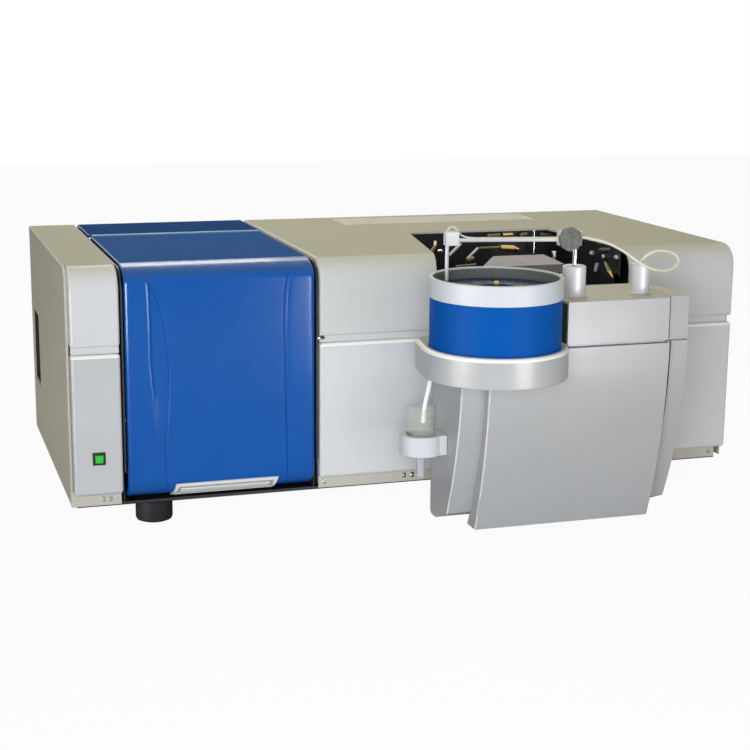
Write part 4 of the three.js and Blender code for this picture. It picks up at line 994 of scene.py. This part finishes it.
@dataclass
class PowerKey:
    """The lit mains key in its square frame at the lower left."""

    left: float = 30.0
    bottom: float = 61.0
    frame: float = 18.6
    frame_wall: float = 2.6
    cap: float = 11.0
    cap_gap: float = 0.3
    proud: float = 1.5
    cap_proud: float = 3.5

    def build(self) -> None:
        """Build the frame and its key."""
        half, key = 0.5 * self.frame, 0.5 * self.cap
        x, z = self.left + half, self.bottom + half
        rim = Form.box((x - half, -self.proud, z - half), (x + half, -0.3, z + half))
        inner = half - self.frame_wall
        sleeve = Form.box((x - inner, -1.0, z - inner), (x + inner, 6.0, z + inner))
        rim.round(1.2, lambda a, b: max(a.y, b.y) < -1.0 or abs(a.y - b.y) > 1.0, segments=3)
        slot = key + self.cap_gap
        rim.plus(sleeve).minus(Form.box((x - slot, -9.0, z - slot), (x + slot, 9.0, z + slot)))
        rim.piece("key_frame", BLACK, replaces=["power_button_bezel"])
        cap = Form.box((x - key, -self.cap_proud - self.proud, z - key), (x + key, 9.5, z + key))
        cap.round(1.3, segments=4)
        cap.piece("key_cap", KEY_GREEN, Body.BUTTON, replaces=["power_button"])


@dataclass
class LampDoor:
    """The blue lamp door with its scoop, groove, curled lower edge, grip and hinge, and the rear cover."""

    left: float = 80.0
    right: float = 354.0
    hinge_y: float = 346.0
    hinge_z: float = 334.0
    barrel: float = 6.5
    ridge: Triple = (326.0, 342.0, 3.6)
    crest: float = 23.0
    crest_depth: float = 60.0
    height: float = 340.0
    depth: float = 498.0
    bottom: float = 1.5
    curl_depth: float = 50.0
    curl_height: float = 32.0
    wall: float = 3.0
    reach: float = 14.0
    side_round: float = 7.0
    roof_round: float = 2.0
    rear_round: float = 2.0
    row_step: float = 4.0
    scoop_depth: float = 3.2
    scoop_edge: float = 2.5
    scoop_slope: float = 60.0
    least_scoop: float = 4.0
    scoop_top: float = 331.0
    scoop_low: float = 20.0
    scoop_foot: float = 4.0
    fade_from: float = 315.0
    top_fade: float = 12.0
    foot_from: float = 24.0
    foot_fade: float = 20.0
    level_from: float = 90.0
    level_over: float = 110.0
    door_middle: Triple = (217.0, 0.0, 200.0)
    grip_inset: float = 68.0
    grip_length: float = 150.0
    grip_border: float = 5.0
    grip_span: Quad = (15.0, 23.0, 57.0, 66.0)
    grip_rise: float = 3.2
    grip_from: float = 15.0
    grip_lean: float = 4.0
    reach_back: float = 20.0
    scoop_bevel: tuple[Pair, ...] = ((0.0, 0.0), (1.0, 0.08), (2.0, 0.30), (5.0, 1.0))
    straight_left: tuple[Pair, ...] = ((20.0, 114.3), (150.0, 114.3), (201.0, 111.0), (258.0, 111.0),
                                       (314.0, 109.5), (331.0, 109.0))
    bowed_left: tuple[Pair, ...] = (
        (20.0, 139.5), (29.0, 137.2), (44.0, 136.0), (76.0, 137.0), (102.0, 138.8), (130.0, 140.8),
        (150.0, 142.0), (170.0, 142.8), (191.0, 142.9), (210.0, 142.0), (222.0, 141.0), (236.0, 139.3),
        (251.0, 137.0), (266.0, 134.2), (280.0, 131.0), (293.0, 127.3), (305.0, 122.8), (315.0, 118.0),
        (324.0, 112.8))
    slot_right: tuple[Pair, ...] = ((30.0, 317.0), (60.0, 316.0), (160.0, 314.6), (250.0, 312.6),
                                    (290.0, 313.6), (310.0, 316.0), (328.0, 320.0))
    slot_shape: tuple[Pair, ...] = ((-4.6, 0.0), (-3.9, 0.1), (-2.4, 1.2), (-1.1, 2.1), (-0.4, 2.3),
                                    (0.4, 2.2), (1.6, 1.4), (3.2, 0.5), (4.6, 0.12), (6.0, 0.0))

    def build(self) -> None:
        """Build the door and what belongs to it."""
        self._shell()
        self._grip()
        self._rear_cover()
        dress("door_hinge_rod", CHROME, radius=0.4)
        dress("lamp_bay_left_wall", BLACK)
        dress("lamp_bay_right_wall", BLACK)

    def _line(self) -> list[Quad]:
        """Return the door's section from its hinge to its lower curl: y, z and the inward normal."""
        back, r = self.hinge_y - self.barrel, self.rear_round
        line = [(back, self.height - 12.0, -1.0, 0.0), (back, self.height - 3.0, -1.0, 0.0)]
        line += [(back - r + r * math.cos(a), self.height - r + r * math.sin(a), -math.cos(a), -math.sin(a))
                 for a in (math.radians(15.0 * k) for k in range(1, 6))]
        runs = 16
        span = back - r - self.crest_depth
        line += [(back - r - span * k / runs, self.height, 0.0, -1.0) for k in range(runs)]
        centre = self.height - self.crest
        for turn in (QUARTER * k / 24 for k in range(25)):
            cos, sin = math.cos(turn), math.sin(turn)
            normal = Vector((sin / self.crest_depth, -cos / self.crest)).normalized()
            line.append((self.crest_depth * (1.0 - sin), centre + self.crest * cos, *normal))
        curl_z = self.bottom + self.curl_height
        steps = round((centre - curl_z) / self.row_step)
        line += [(0.0, centre - (centre - curl_z) * k / steps, 1.0, 0.0) for k in range(1, steps + 1)]
        for k in range(1, 17):
            angle = math.radians(5.0 * k)
            cos, sin = math.cos(angle), math.sin(angle)
            normal = Vector((cos / self.curl_depth, sin / self.curl_height)).normalized()
            line.append((self.curl_depth * (1.0 - cos), curl_z - self.curl_height * sin, *normal))
        return line

    @staticmethod
    def _along(points: Sequence[Pair], z: float) -> float:
        """Return the x of a drawn line at a height."""
        if z <= points[0][0]:
            return points[0][1]
        for (z0, x0), (z1, x1) in zip(points, points[1:]):
            if z <= z1:
                share = (z - z0) / (z1 - z0)
                return x0 + (x1 - x0) * share
        return points[-1][1]

    def _columns(self, z: float, along: float, corner: float) -> list[Pair]:
        """Return each column's x and inset at one row.

        Args:
            z: The height of the row.
            along: How much of the scoop's and the groove's depth the row has.
            corner: The rounding of its two ends.

        Returns:
            Pairs of x and inset below the door's surface.
        """
        bend = [QUARTER * k / 6 for k in range(7)]
        left = [(self.left, self.reach)]
        left += [(self.left + corner * (1.0 - math.sin(a)), corner * (1.0 - math.cos(a)))
                 for a in reversed(bend)]
        right = [(self.left + self.right - x, inset) for x, inset in reversed(left)]
        share = held((z - self.level_from) / self.level_over)
        scoop = self._scoop(self._along(self.straight_left, z), self._along(self.bowed_left, z), along,
                            share * share * (3.0 - 2.0 * share))
        line = self._along(self.slot_right, z) - 2.5
        slot = [(line + x, along * deep) for x, deep in self.slot_shape]
        inner, far = left[-1][0], right[0][0]
        start = between(inner, scoop[0][0], 5)
        middle = between(scoop[-1][0], slot[0][0], 10)
        end = between(slot[-1][0], far, 4)
        return [*left, *start, *scoop, *middle, *slot, *end, *right]

    def _scoop(self, straight: float, bowed: float, along: float, level: float) -> list[Pair]:
        """Return the left scoop's columns: a bevel, a sloping floor and a steep wall with a rounded edge.

        Args:
            straight: The x of its straight edge.
            bowed: The x of its bowed edge.
            along: How much of its depth the row has.
            level: How far its floor lies level, rather than rising to the straight edge.

        Returns:
            Pairs of x and depth.
        """
        width = max(bowed - straight, self.least_scoop)
        bowed = straight + width
        wide = self.scoop_bevel[-1][0]
        gentle = min(1.0, 0.45 * width / wide)
        size = min(1.0, 0.40 * width / (2.0 * self.scoop_edge))
        deep = self.scoop_depth * size
        bevel = [(straight + gentle * x, along * gentle * level * d) for x, d in self.scoop_bevel]
        slope, radius = math.radians(self.scoop_slope), self.scoop_edge * size
        foot = bowed - radius * math.sin(slope) - (deep - radius * (1.0 - math.cos(slope))) / math.tan(slope)
        edge = [(bowed - radius * math.sin(a), along * radius * (1.0 - math.cos(a)))
                for a in (slope * k / 4 for k in (4, 3, 2, 1, 0))]
        ledge = bevel[-1][0] + 0.7 * deep
        low = along * deep * (level + (1.0 - level) * (ledge - straight) / width)
        floor = [(ledge + (foot - ledge) * k / 4, low + (along * deep - low) * k / 4) for k in range(5)]
        return [*bevel, *floor, *edge]

    def _shell(self) -> None:
        """Sweep the door's section across its columns, and give it its wall."""
        line = self._line()
        rows = []
        for y, z, ny, nz in line:
            at_front = y < self.reach_back and z < self.height - 4.0
            fade = 1.0
            if z > self.fade_from:
                fade = held((self.scoop_top - z) / self.top_fade)
            if z < self.foot_from:
                fade = held((z - self.scoop_foot) / self.foot_fade)
            corner = self.roof_round + (self.side_round - self.roof_round) * max(0.0, ny)
            level = min(self.scoop_top, max(self.scoop_low, z)) if at_front else self.scoop_top
            rows.append([(x, y + ny * inset, z + nz * inset)
                         for x, inset in self._columns(level, fade if at_front else 0.0, corner)])
        form = Form()
        wide, tall = len(rows[0]), len(rows)
        bmesh.ops.create_grid(form.bm, x_segments=wide - 1, y_segments=tall - 1, size=0.5)
        for vert in form.bm.verts:
            column = round((vert.co.x + 0.5) * (wide - 1))
            row = round((vert.co.y + 0.5) * (tall - 1))
            vert.co = rows[row][column]
        bmesh.ops.recalc_face_normals(form.bm, faces=form.bm.faces[:])
        centre = Vector(self.door_middle)
        middle = min(form.bm.faces, key=lambda f: (f.calc_center_median() - centre).length)
        if middle.normal.y > 0.0:
            bmesh.ops.reverse_faces(form.bm, faces=form.bm.faces[:])
        barrel = Form.rod((self.left + 3.0, self.hinge_y, self.hinge_z),
                          (self.right - 3.0, self.hinge_y, self.hinge_z), self.barrel)
        barrel.round(1.0, segments=3)
        web = Form.box((self.left + 3.2, self.hinge_y - self.barrel - 2.0, self.hinge_z - 1.5),
                       (self.right - 3.2, self.hinge_y, self.hinge_z + 3.0))
        front, rear, rise = self.ridge
        middle_y, half = 0.5 * (front + rear), 0.5 * (rear - front)
        arch = [(self.left + 1.5, middle_y + half * math.cos(a), self.height - 0.5 + rise * math.sin(a))
                for a in (math.pi * k / 14 for k in range(15))]
        ridge = Form.prism(arch, (self.right - self.left - 3.0, 0.0, 0.0)).round(0.8, segments=3)
        ridge.piece("door_ridge", BLUE_SATIN, Body.DOOR, slot="door_blue")
        shell = form.piece("door_shell", BLUE, Body.DOOR, replaces=["lamp_door"])
        wall = shell.modifiers.new("wall", "SOLIDIFY")
        wall.thickness = self.wall * MM
        wall.offset = -1.0
        wall.use_even_offset = False
        barrel.join(web).piece("door_barrel", BLUE_SATIN, Body.DOOR, slot="door_blue")

    def _grip(self) -> None:
        """Bend the white grip round the door's curled edge."""
        start, end, border = 0.0, self.grip_length, self.grip_border
        upper, upper_end, lower_start, lower = self.grip_span
        frame = Form()
        for x0, x1, span in ((start, end, (upper, upper_end)), (start, end, (lower_start, lower)),
                             (start, border, (upper, lower)), (end - border, end, (upper, lower))):
            frame.join(self._grip_plate(x0, x1, span, self.grip_rise))
        frame.piece("door_grip", WHITE, Body.DOOR, replaces=["door_handle_lip"])
        # The bed under the grip is dark beige: painted shade in the grip's grooves.
        bed = self._grip_plate(start + 2.0, end - 2.0, (18.0, 60.0), 1.4)
        bed.piece("grip_bed", GRIP_GROOVE_SHADE, Body.DOOR, slot="white_plastic")
        plate = self._grip_plate(start + border + 4.0, end - border - 4.0, (31.0, 56.0), 2.7)
        plate.piece("grip_plate", WHITE, Body.DOOR, slot="white_plastic")

    def _grip_plate(self, start: float, end: float, span: Pair, thick: float) -> Form:
        """Return a plate of the grip, bent round the door's curl.

        Args:
            start: Where it starts along the grip.
            end: Where it ends.
            span: The degrees of the curl that it covers.
            thick: Its thickness.

        Returns:
            The plate, with its edges rounded.
        """
        steps = 8
        degrees = [span[0] + (span[1] - span[0]) * k / steps for k in range(steps + 1)]

        def curve(outset: float, degree: float) -> Triple:
            """Return a point of the grip's section."""
            a = math.radians(degree)
            lean = self.grip_lean * (degree - self.grip_from) / 50.0
            return (self.left + self.grip_inset - lean,
                    self.curl_depth - (self.curl_depth + outset) * math.cos(a),
                    self.bottom + self.curl_height - (self.curl_height + outset) * math.sin(a))

        line = [curve(0.3 + thick, d) for d in degrees] + [curve(0.3, d) for d in reversed(degrees)]
        form = Form.prism(line, (end - start, 0.0, 0.0)).shift(x=start)
        return form.round(0.7, segments=3, angle=math.radians(40.0))

    def _rear_cover(self) -> None:
        """Close the roof behind the hinge."""
        front = self.hinge_y + self.barrel + 0.5
        left, right, wall = self.left - 1.0, self.right + 3.5, self.wall
        cover = Form.box((left, front, self.height - 14.0), (right, self.depth, self.height))
        cover.round(1.8, lambda a, b: max(a.z, b.z) > self.height - 1.0, segments=4)
        cover.minus(Form.box((left + wall, front + wall, 300.0),
                             (right - wall, self.depth - wall, self.height - wall)))
        # The rear cover takes the darker copy of the door's blue: painted shade.
        cover.piece("rear_roof_cover", BLUE_SHADED, replaces=["rear_blue_cover"])


@dataclass
class Sampler:
    """The hanging case with its cover, and the drum with its collar, rim and tray."""

    x: float = 551.0
    y: float = -201.0
    rim_radius: float = 91.0
    rim_wall: float = 5.3
    rim_top: float = 340.0
    rim_bottom: float = 312.6
    rim_round: float = 1.6
    wall_radius: float = 89.6
    wall_bottom: float = 207.8
    wall: float = 3.1
    cover_joint: float = 815.4
    shade_line_x: float = 818.9
    edge_back: float = -120.0
    cover_box: Quad = (-196.0, -74.0, 237.3, 300.0)
    shade_box: tuple[Triple, Triple] = ((654.8, -203.0, 242.0), (656.3, -80.0, 297.0))
    # Height in metres above which the shells' upper edges take the painted highlight.
    highlight_from: float = 0.27
    tray_top: float = 325.0
    tray_radius: float = 84.5
    seat_rings: tuple[tuple[float, int, float], ...] = ((73.0, 40, 4.3), (58.0, 32, 4.3), (44.0, 12, 5.4))

    def build(self) -> None:
        """Build the case and the drum."""
        dress("sampler_bracket", STEEL, radius=0.8)
        for node in ("sampler_back_shell", "sampler_front_shell"):
            shell = dress(node, CASE_GREY, radius=2.8, segments=4)
            # The shells' upper edges near the top and their left edges take the pale paint: painted
            # highlight.
            repaint(shell, EDGE_HIGHLIGHT,
                    lambda face: (highlighted_upper_edge(face) and face.center.z > self.highlight_from) or highlighted_left_edge(face))
        self._cover()
        self._painted_edge_lines()
        collar = dress("drum_collar", COLLAR_WHITE, radius=2.2, segments=4)
        # The collar's rounded upper edges take the pale paint: painted highlight.
        repaint(collar, EDGE_HIGHLIGHT, highlighted_upper_edge)
        # A black plate behind the drum at the cover's left side: painted shade in the gap between drum and
        # cover.
        shade = Form.box(*self.shade_box).round(0.4)
        shade.piece("cover_left_painted_shade", BLACK, slot="black_plastic")
        self._drum()
        self._tray()
        dress("tray_motor", STEEL, radius=0.8)

    def _front_edge(self, node: str, left: bool) -> list[Vector]:
        """Return the bowed front edge of a shell, from its foot up.

        Args:
            node: The shell's node.
            left: Whether it is the left edge.

        Returns:
            The edge's points in millimetres.
        """
        shell = Form.of_node(node)
        corners = [Vector(tuple(v.co)) for v in shell.bm.verts if v.co.y < self.edge_back]
        shell.bm.free()
        side = min(c.x for c in corners) if left else max(c.x for c in corners)
        edge: dict[int, Vector] = {}
        for corner in corners:
            if abs(corner.x - side) < 0.5:
                level = round(corner.z)
                edge[level] = min(edge.get(level, corner), corner, key=lambda c: c.y)
        line: list[Vector] = []
        for level in sorted(edge):
            point = edge[level]
            while len(line) > 1 and ((line[-1].z - line[-2].z) * (point.y - line[-2].y)
                                     < (line[-1].y - line[-2].y) * (point.z - line[-2].z)):
                line.pop()
            line.append(point)
        return line

    def _painted_edge_lines(self) -> None:
        """Lay pale beads along the shells' left edges as painted highlights, and a dark tube beside the front
        shell as painted shade in the step between the shells.
        """
        for shell in ("back_shell", "front_shell"):
            # Each pale tube along a shell's left edge is a painted highlight.
            points = [p + Vector((0.8, 0.8, 0.0)) for p in self._front_edge(f"sampler_{shell}", left=True)]
            highlight_bead = Form.tube(points, 1.4, sides=12)
            highlight_bead.piece(f"{shell}_bead", BEAD_HIGHLIGHT, slot="panel_grey")
        # A dark tube in the step beside the front shell: painted shade.
        edge = self._front_edge("sampler_back_shell", left=False)
        joint = Form.tube([(self.shade_line_x, p.y + 0.2, p.z) for p in edge], 1.2, sides=10)
        joint.piece("shell_step_shade", STEP_SHADE, slot="black_plastic")

    def _cover(self) -> None:
        """Split the top cover's look into its front part and its set-back right part."""
        joint, wide, deep = self.cover_joint, 1.8, 3.0
        front, rear, low, top = self.cover_box
        groove = Form.box((joint, front - FAR, low - 1.0), (joint + wide, front + deep, top + 1.0))
        trough = Form.box((joint, front - FAR, top - 1.6), (joint + wide, rear + 1.0, top + 1.0))
        cover = Form.of_node("sampler_top_cover").minus(groove, trough)
        cover.round(2.8, segments=4)
        body = cover.piece("sampler_top_cover_body", CASE_GREY, replaces=["sampler_top_cover"])
        # The cover's flat top takes the warmer, lighter copy: painted light.
        repaint(body, COVER_ROOF_LIT, lambda face: face.normal.z > 0.98)
        # Its rounded upper and left edges take the pale paint: painted highlight.
        repaint(body, EDGE_HIGHLIGHT, lambda face: highlighted_upper_edge(face) or highlighted_left_edge(face))

    def _drum(self) -> None:
        """Turn the drum's wall, its rim, and a dark grey-green sleeve inside the rim that paints the shade on
        its inner wall.
        """
        r, w = self.wall_radius, self.wall
        low, high = self.wall_bottom, self.rim_bottom - 0.4
        band = [(r - w, low), (r - 0.5, low), (r, low + 0.5), (r, high), (r - w, high), (r - w, low)]
        wall = Form.turned(band, (self.x, self.y, 0.0), steps=160)
        wall.piece("drum_band", BLUE_GLOSS, replaces=["drum_wall"])
        r, w, e = self.rim_radius, self.rim_wall, self.rim_round
        low, top = self.rim_bottom, self.rim_top
        outer = arc((r - e, top - e), e, 0.0, QUARTER, 5)
        inner = arc((r - w + 1.0, top - 1.0), 1.0, QUARTER, QUARTER, 4)
        profile = [(r - w, low), (r - 0.8, low), (r - 0.2, low + 0.2), (r, low + 0.8), *outer, *inner,
                   (r - w, low)]
        rim = Form.turned(profile, (self.x, self.y, 0.0), steps=160)
        rim.piece("drum_crown", RIM_WHITE, replaces=["drum_rim"])
        # A dark sleeve just inside the rim's inner wall: painted shade.
        near, far = r - w - 0.5, r - w - 0.1
        sleeve = [(near, low - 4.0), (far, low - 4.0), (far, top - 2.2), (near, top - 2.2), (near, low - 4.0)]
        shade_sleeve = Form.turned(sleeve, (self.x, self.y, 0.0), steps=120)
        shade_sleeve.piece("rim_shade_sleeve", RIM_SHADE, slot="white_plastic")

    def _tray(self) -> None:
        """Turn the glossy tray, with its rings of seats and its small knob."""
        x, y, top, r = self.x, self.y, self.tray_top, self.tray_radius
        profile = [(0.0, top - 4.0), (4.0, top - 4.0), (5.0, top - 3.2), (30.0, top - 3.2), (32.0, top - 1.2),
                   (36.0, top), (r - 3.0, top), (r - 1.0, top - 0.6), (r, top - 2.0), (r, top - 6.0),
                   (r - 3.0, top - 6.5), (0.0, top - 6.5)]
        tray = Form.turned(profile, (x, y, 0.0), steps=120)
        tray.piece("tray_disc", NAVY_WITH_REFLECTIONS, Body.TRAY, replaces=["sample_tray"])
        for ring, (radius, count, size) in enumerate(self.seat_rings):
            form = Form()
            lip = [(size - 0.8, top - 0.4), (size - 0.8, top + 0.3), (size, top + 0.3), (size, top - 0.4)]
            for k in range(count):
                a = FULL_TURN * (k + 0.5 * (ring % 2)) / count
                seat = (x + radius * math.cos(a), y + radius * math.sin(a), 0.0)
                form.join(Form.turned(lip, seat, steps=16))
            form.piece(f"seat_ring_{ring + 1}", NAVY_WITH_REFLECTIONS, Body.TRAY, slot="tray_navy")
        knob = [(0.0, top + 8.0), (2.6, top + 8.0), (3.4, top + 7.4), (4.2, top + 5.6), (4.2, top + 3.2),
                (2.4, top + 2.6), (2.4, top - 4.0), (0.0, top - 4.0)]
        Form.turned(knob, (x, y, 0.0), steps=32).piece("tray_knob", BRASS, Body.TRAY, slot="contact_brass")


@dataclass
class SamplerArm:
    """The mast with its swinging arm, needle and clamp knob, and the dispenser post."""

    mast: Pair = (686.0, -155.0)
    post: Pair = (787.0, -158.0)
    cover_top: float = 300.0
    post_height: float = 43.0
    mast_radius: float = 16.5
    post_radius: float = 13.3
    mast_hole: float = 3.4
    post_hole: float = 1.6

    def build(self) -> None:
        """Build the upright turned parts and dress the arm."""
        self._upright("mast_barrel", self.mast, self.mast_radius, "mast_housing", self.mast_hole)
        self._upright("dispenser_barrel", self.post, self.post_radius, "dispenser_post", self.post_hole)
        dress("mast_rod", CHROME, Body.MAST, radius=0.3)
        dress("sampler_arm", WHITE, Body.ARM, radius=1.0)
        dress("sampling_needle", WHITE, Body.ARM, radius=0.2)
        dress("arm_clamp_knob", KNOB_GREY, Body.KNOB, radius=0.5)

    def _upright(self, name: str, place: Pair, radius: float, node: str, hole: float) -> None:
        """Turn one upright barrel with a rounded shoulder and a bored top."""
        low, top = self.cover_top + 0.3, self.cover_top + self.post_height
        profile = [(hole, low), (radius + 1.2, low), (radius + 1.2, low + 1.4), (radius, low + 2.0),
                   (radius, top - 2.2), (radius - 0.6, top - 0.7), (radius - 2.2, top), (hole + 3.0, top),
                   (hole + 2.4, top - 0.6), (hole, top - 0.6), (hole, low)]
        form = Form.turned(profile, (*place, 0.0), steps=96)
        form.piece(name, ANODISED, replaces=[node])


@dataclass
class Capillary:
    """The free capillary from the arm's hub round to the dispenser post. Points are in millimetres."""

    start: Triple = (695.6, -155.0, 381.5)
    route: tuple[Triple, ...] = (
        (701.0, -155.3, 381.5), (711.0, -157.0, 379.3), (721.0, -160.0, 377.2), (735.0, -164.0, 372.5),
        (746.0, -167.0, 366.9), (755.5, -170.0, 361.2), (767.0, -173.0, 352.8), (777.5, -174.4, 345.6),
        (793.5, -174.0, 337.8), (811.5, -170.0, 333.0), (830.5, -164.0, 332.9), (844.0, -158.5, 338.0),
        (847.5, -155.5, 345.0), (840.0, -155.0, 353.6), (825.0, -156.0, 358.6), (809.0, -157.0, 358.5),
        (796.5, -158.0, 353.5), (790.0, -158.0, 348.0),
    )
    end: Triple = (787.0, -158.0, 343.6)
    end_rise: float = 2.0
    diameter: float = 4.0
    bend_share: float = 1.01

    def build(self) -> None:
        above = (self.end[0], self.end[1], self.end[2] + self.end_rise)
        points = [PLACE @ Vector(p) for p in (self.start, *self.route, above, self.end)]
        curve = round_curve("free_tube", 0.5 * self.diameter * MM, 4, 8)
        spline = curve.splines.new("BEZIER")
        spline.bezier_points.add(len(points) - 1)
        for slot, point in zip(spline.bezier_points, points):
            slot.co = point
            slot.handle_left_type = "AUTO"
            slot.handle_right_type = "AUTO"
        tube = place_object("free_tube", curve)
        curve.materials.append(TUBE.material())
        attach(tube, Body.INSTRUMENT.value)
        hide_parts("free_capillary")


@dataclass
class RinseStation:
    """The rinse cup in its holder, with its drain and tube."""

    x: float = 475.0
    y: float = -120.0
    cup_radius: float = 20.2
    cup_foot: float = 86.0
    cup_top: float = 146.0
    wall: float = 1.3
    drain_top: float = 82.0

    def build(self) -> None:
        """Dress the holder, turn the cup and dress the tube."""
        holder = dress("rinse_cup_holder", HOLDER, radius=1.2, segments=3)
        drain = self.drain_top * MM + ORIGIN[2]
        repaint(holder, DRAIN, lambda face: face.center.z < drain and face.normal.z > -0.9)
        r, w, low, top = self.cup_radius, self.wall, self.cup_foot, self.cup_top
        profile = [(0.0, low), (r - 4.0, low), (r - 2.6, low + 0.6), (r - 2.0, low + 2.0),
                   (r - 0.4, top - 0.5), (r - 0.7, top), (r - w, top - 0.3), (r - 2.0 - w, low + 2.6),
                   (r - 4.2, low + w), (0.0, low + w)]
        cup = Form.turned(profile, (self.x, self.y, 0.0), steps=72)
        cup.piece("rinse_beaker", CUP_PLASTIC, Body.CUP, replaces=["rinse_cup"])
        dress("rinse_tube", WHITE_TUBE, radius=0.3)


FITTING_SLOTS = {ANODISED: "steel", CHROME: "steel", OLIVE: "contact_brass", BRASS: "contact_brass",
                 CASTING: "alloy", KNOB_GREY: "alloy"}


@dataclass
class FurnaceFittings:
    """The small fittings that the roof's opening shows round the furnace.

    A rod has its start, its end, a radius at each and a finish.
    """

    rods: tuple[tuple[Triple, Triple, float, float, Finish], ...] = (
        ((616.0, 160.0, 316.0), (635.5, 160.0, 334.0), 2.3, 2.3, ANODISED),
        ((647.0, 160.0, 310.0), (664.0, 160.0, 326.0), 2.0, 2.0, ANODISED),
        ((612.0, 118.0, 304.0), (640.0, 104.0, 309.0), 2.2, 1.6, OLIVE),
        ((637.0, 140.0, 310.0), (650.0, 140.0, 313.0), 4.2, 3.4, OLIVE),
        ((668.0, 170.0, 324.0), (706.0, 170.0, 324.0), 2.0, 2.4, OLIVE),
        ((706.0, 170.0, 323.5), (728.0, 170.0, 321.5), 4.6, 5.2, BRASS),
        ((728.0, 170.0, 321.5), (738.0, 170.0, 319.5), 5.2, 2.0, BRASS),
        ((798.0, 250.0, 302.0), (798.0, 250.0, 338.5), 2.4, 2.4, CHROME),
        ((773.5, 112.0, 296.0), (773.5, 112.0, 315.0), 3.0, 3.0, ANODISED),
        ((773.5, 112.0, 315.0), (773.5, 112.0, 323.5), 4.6, 3.8, CHROME),
        ((745.0, 85.0, 303.0), (745.0, 85.0, 309.0), 3.4, 2.6, CHROME),
        ((753.5, 88.0, 306.0), (753.5, 88.0, 312.0), 3.2, 2.2, CHROME),
        ((719.0, 262.0, 330.0), (742.0, 262.0, 331.0), 3.6, 3.6, OLIVE),
        ((746.0, 261.0, 331.5), (764.0, 261.0, 331.5), 3.4, 3.0, BRASS),
        ((777.0, 261.0, 329.0), (790.0, 261.0, 332.0), 4.2, 3.4, OLIVE),
        ((814.0, 262.0, 330.0), (836.0, 262.0, 328.0), 3.0, 3.0, OLIVE),
        ((580.0, 150.0, 321.0), (592.0, 160.0, 331.0), 3.0, 2.4, OLIVE),
        ((592.0, 160.0, 331.0), (603.0, 190.0, 333.5), 2.4, 2.4, BRASS),
        ((590.0, 138.0, 326.0), (594.0, 134.0, 328.0), 3.0, 2.0, CHROME),
        ((602.0, 100.0, 300.0), (606.0, 92.0, 303.0), 3.6, 2.6, ANODISED),
        ((847.0, 123.0, 317.0), (841.0, 120.0, 318.0), 4.0, 3.0, ANODISED),
        ((847.0, 77.0, 317.0), (840.0, 74.0, 318.0), 4.4, 3.2, CHROME),
        ((847.0, 36.0, 322.0), (841.0, 35.0, 323.0), 3.6, 2.6, ANODISED),
        ((845.0, 75.0, 309.0), (843.0, 52.0, 296.0), 3.0, 5.0, OLIVE),
        ((843.0, 52.0, 296.0), (843.0, 42.0, 289.0), 5.0, 1.6, BRASS),
        ((846.0, 104.0, 303.0), (842.0, 104.0, 290.0), 4.0, 3.0, CASTING),
        ((846.0, 62.0, 331.0), (842.0, 90.0, 327.0), 2.6, 2.6, KNOB_GREY),
    )
    floor: float = 199.5
    rear: float = 270.5
    near_rear: float = 245.0
    near_right: float = 839.0
    post_radius: float = 1.5

    def build(self) -> None:
        """Stand each fitting in the furnace compartment, on a dark post unless it sits on the right wall."""
        for index, (start, end, radius, tip, finish) in enumerate(self.rods, 1):
            x, y, z = (0.5 * (a + b) for a, b in zip(start, end))
            if x < self.near_right:
                foot = (x, self.rear, z) if y > self.near_rear else (x, y, self.floor)
                post = Form.rod(foot, (x, y, z), self.post_radius, self.post_radius, segments=12)
                post.piece(f"furnace_post_{index}", BLACK, slot="black_metal")
            rod = Form.rod(start, end, radius, tip, segments=20)
            rod.round(0.5, angle=math.radians(60.0), segments=2)
            rod.piece(f"furnace_fitting_{index}", finish, slot=FITTING_SLOTS[finish])


@dataclass
class Insides:
    """The lamps, optics, furnace and electronics inside the housing.

    A solid has its node, its finish, the rounding of its edges and the body that it rides on.
    """

    solids: tuple[tuple[str, Finish, float, Body], ...] = (
        ("lamp_turret", SATIN, 0.8, Body.TURRET),
        ("turret_motor", BLACK, 0.8, Body.INSTRUMENT),
        *((f"hollow_cathode_lamp_{index}", GLASS, 0.8, Body.TURRET) for index in (1, 2, 3)),
        ("optical_bench", CASTING, 1.0, Body.INSTRUMENT),
        ("monochromator_case", BLACK, 0.8, Body.INSTRUMENT),
        ("diffraction_grating", MIRROR, 0.4, Body.GRATING),
        ("photomultiplier_housing", SATIN, 0.6, Body.INSTRUMENT),
        ("furnace_well", BLACK, 0.5, Body.INSTRUMENT),
        ("furnace_magnet_block", MAUVE, 1.0, Body.INSTRUMENT),
        ("graphite_tube", GRAPHITE, 0.3, Body.INSTRUMENT),
        ("furnace_contact_left", BRASS, 0.6, Body.INSTRUMENT),
        ("furnace_contact_right", BRASS, 0.6, Body.INSTRUMENT),
        ("power_supply", STEEL, 1.0, Body.INSTRUMENT),
        ("circuit_board", BOARD_GREEN, 0.3, Body.INSTRUMENT),
        ("power_inlet", BLACK, 0.6, Body.INSTRUMENT),
        ("fan_frame", BLACK, 0.6, Body.INSTRUMENT),
        ("fan_rotor", BLACK, 0.3, Body.FAN),
    )

    def build(self) -> None:
        """Dress each inner solid."""
        for node, finish, radius, body in self.solids:
            dress(node, finish, body, radius)


def main() -> None:
    """Build the studio, the capillary and every sub-assembly, in order."""
    logging.basicConfig(level=logging.INFO, format="%(name)s: %(message)s")
    for part in (Studio(), Capillary(), Cabinet(), PowerKey(), LampDoor(), Sampler(), SamplerArm(),
                 RinseStation(), FurnaceFittings(), Insides()):
        log.info("building %s", type(part).__name__)
        part.build()


if __name__ == "__main__":
    main()
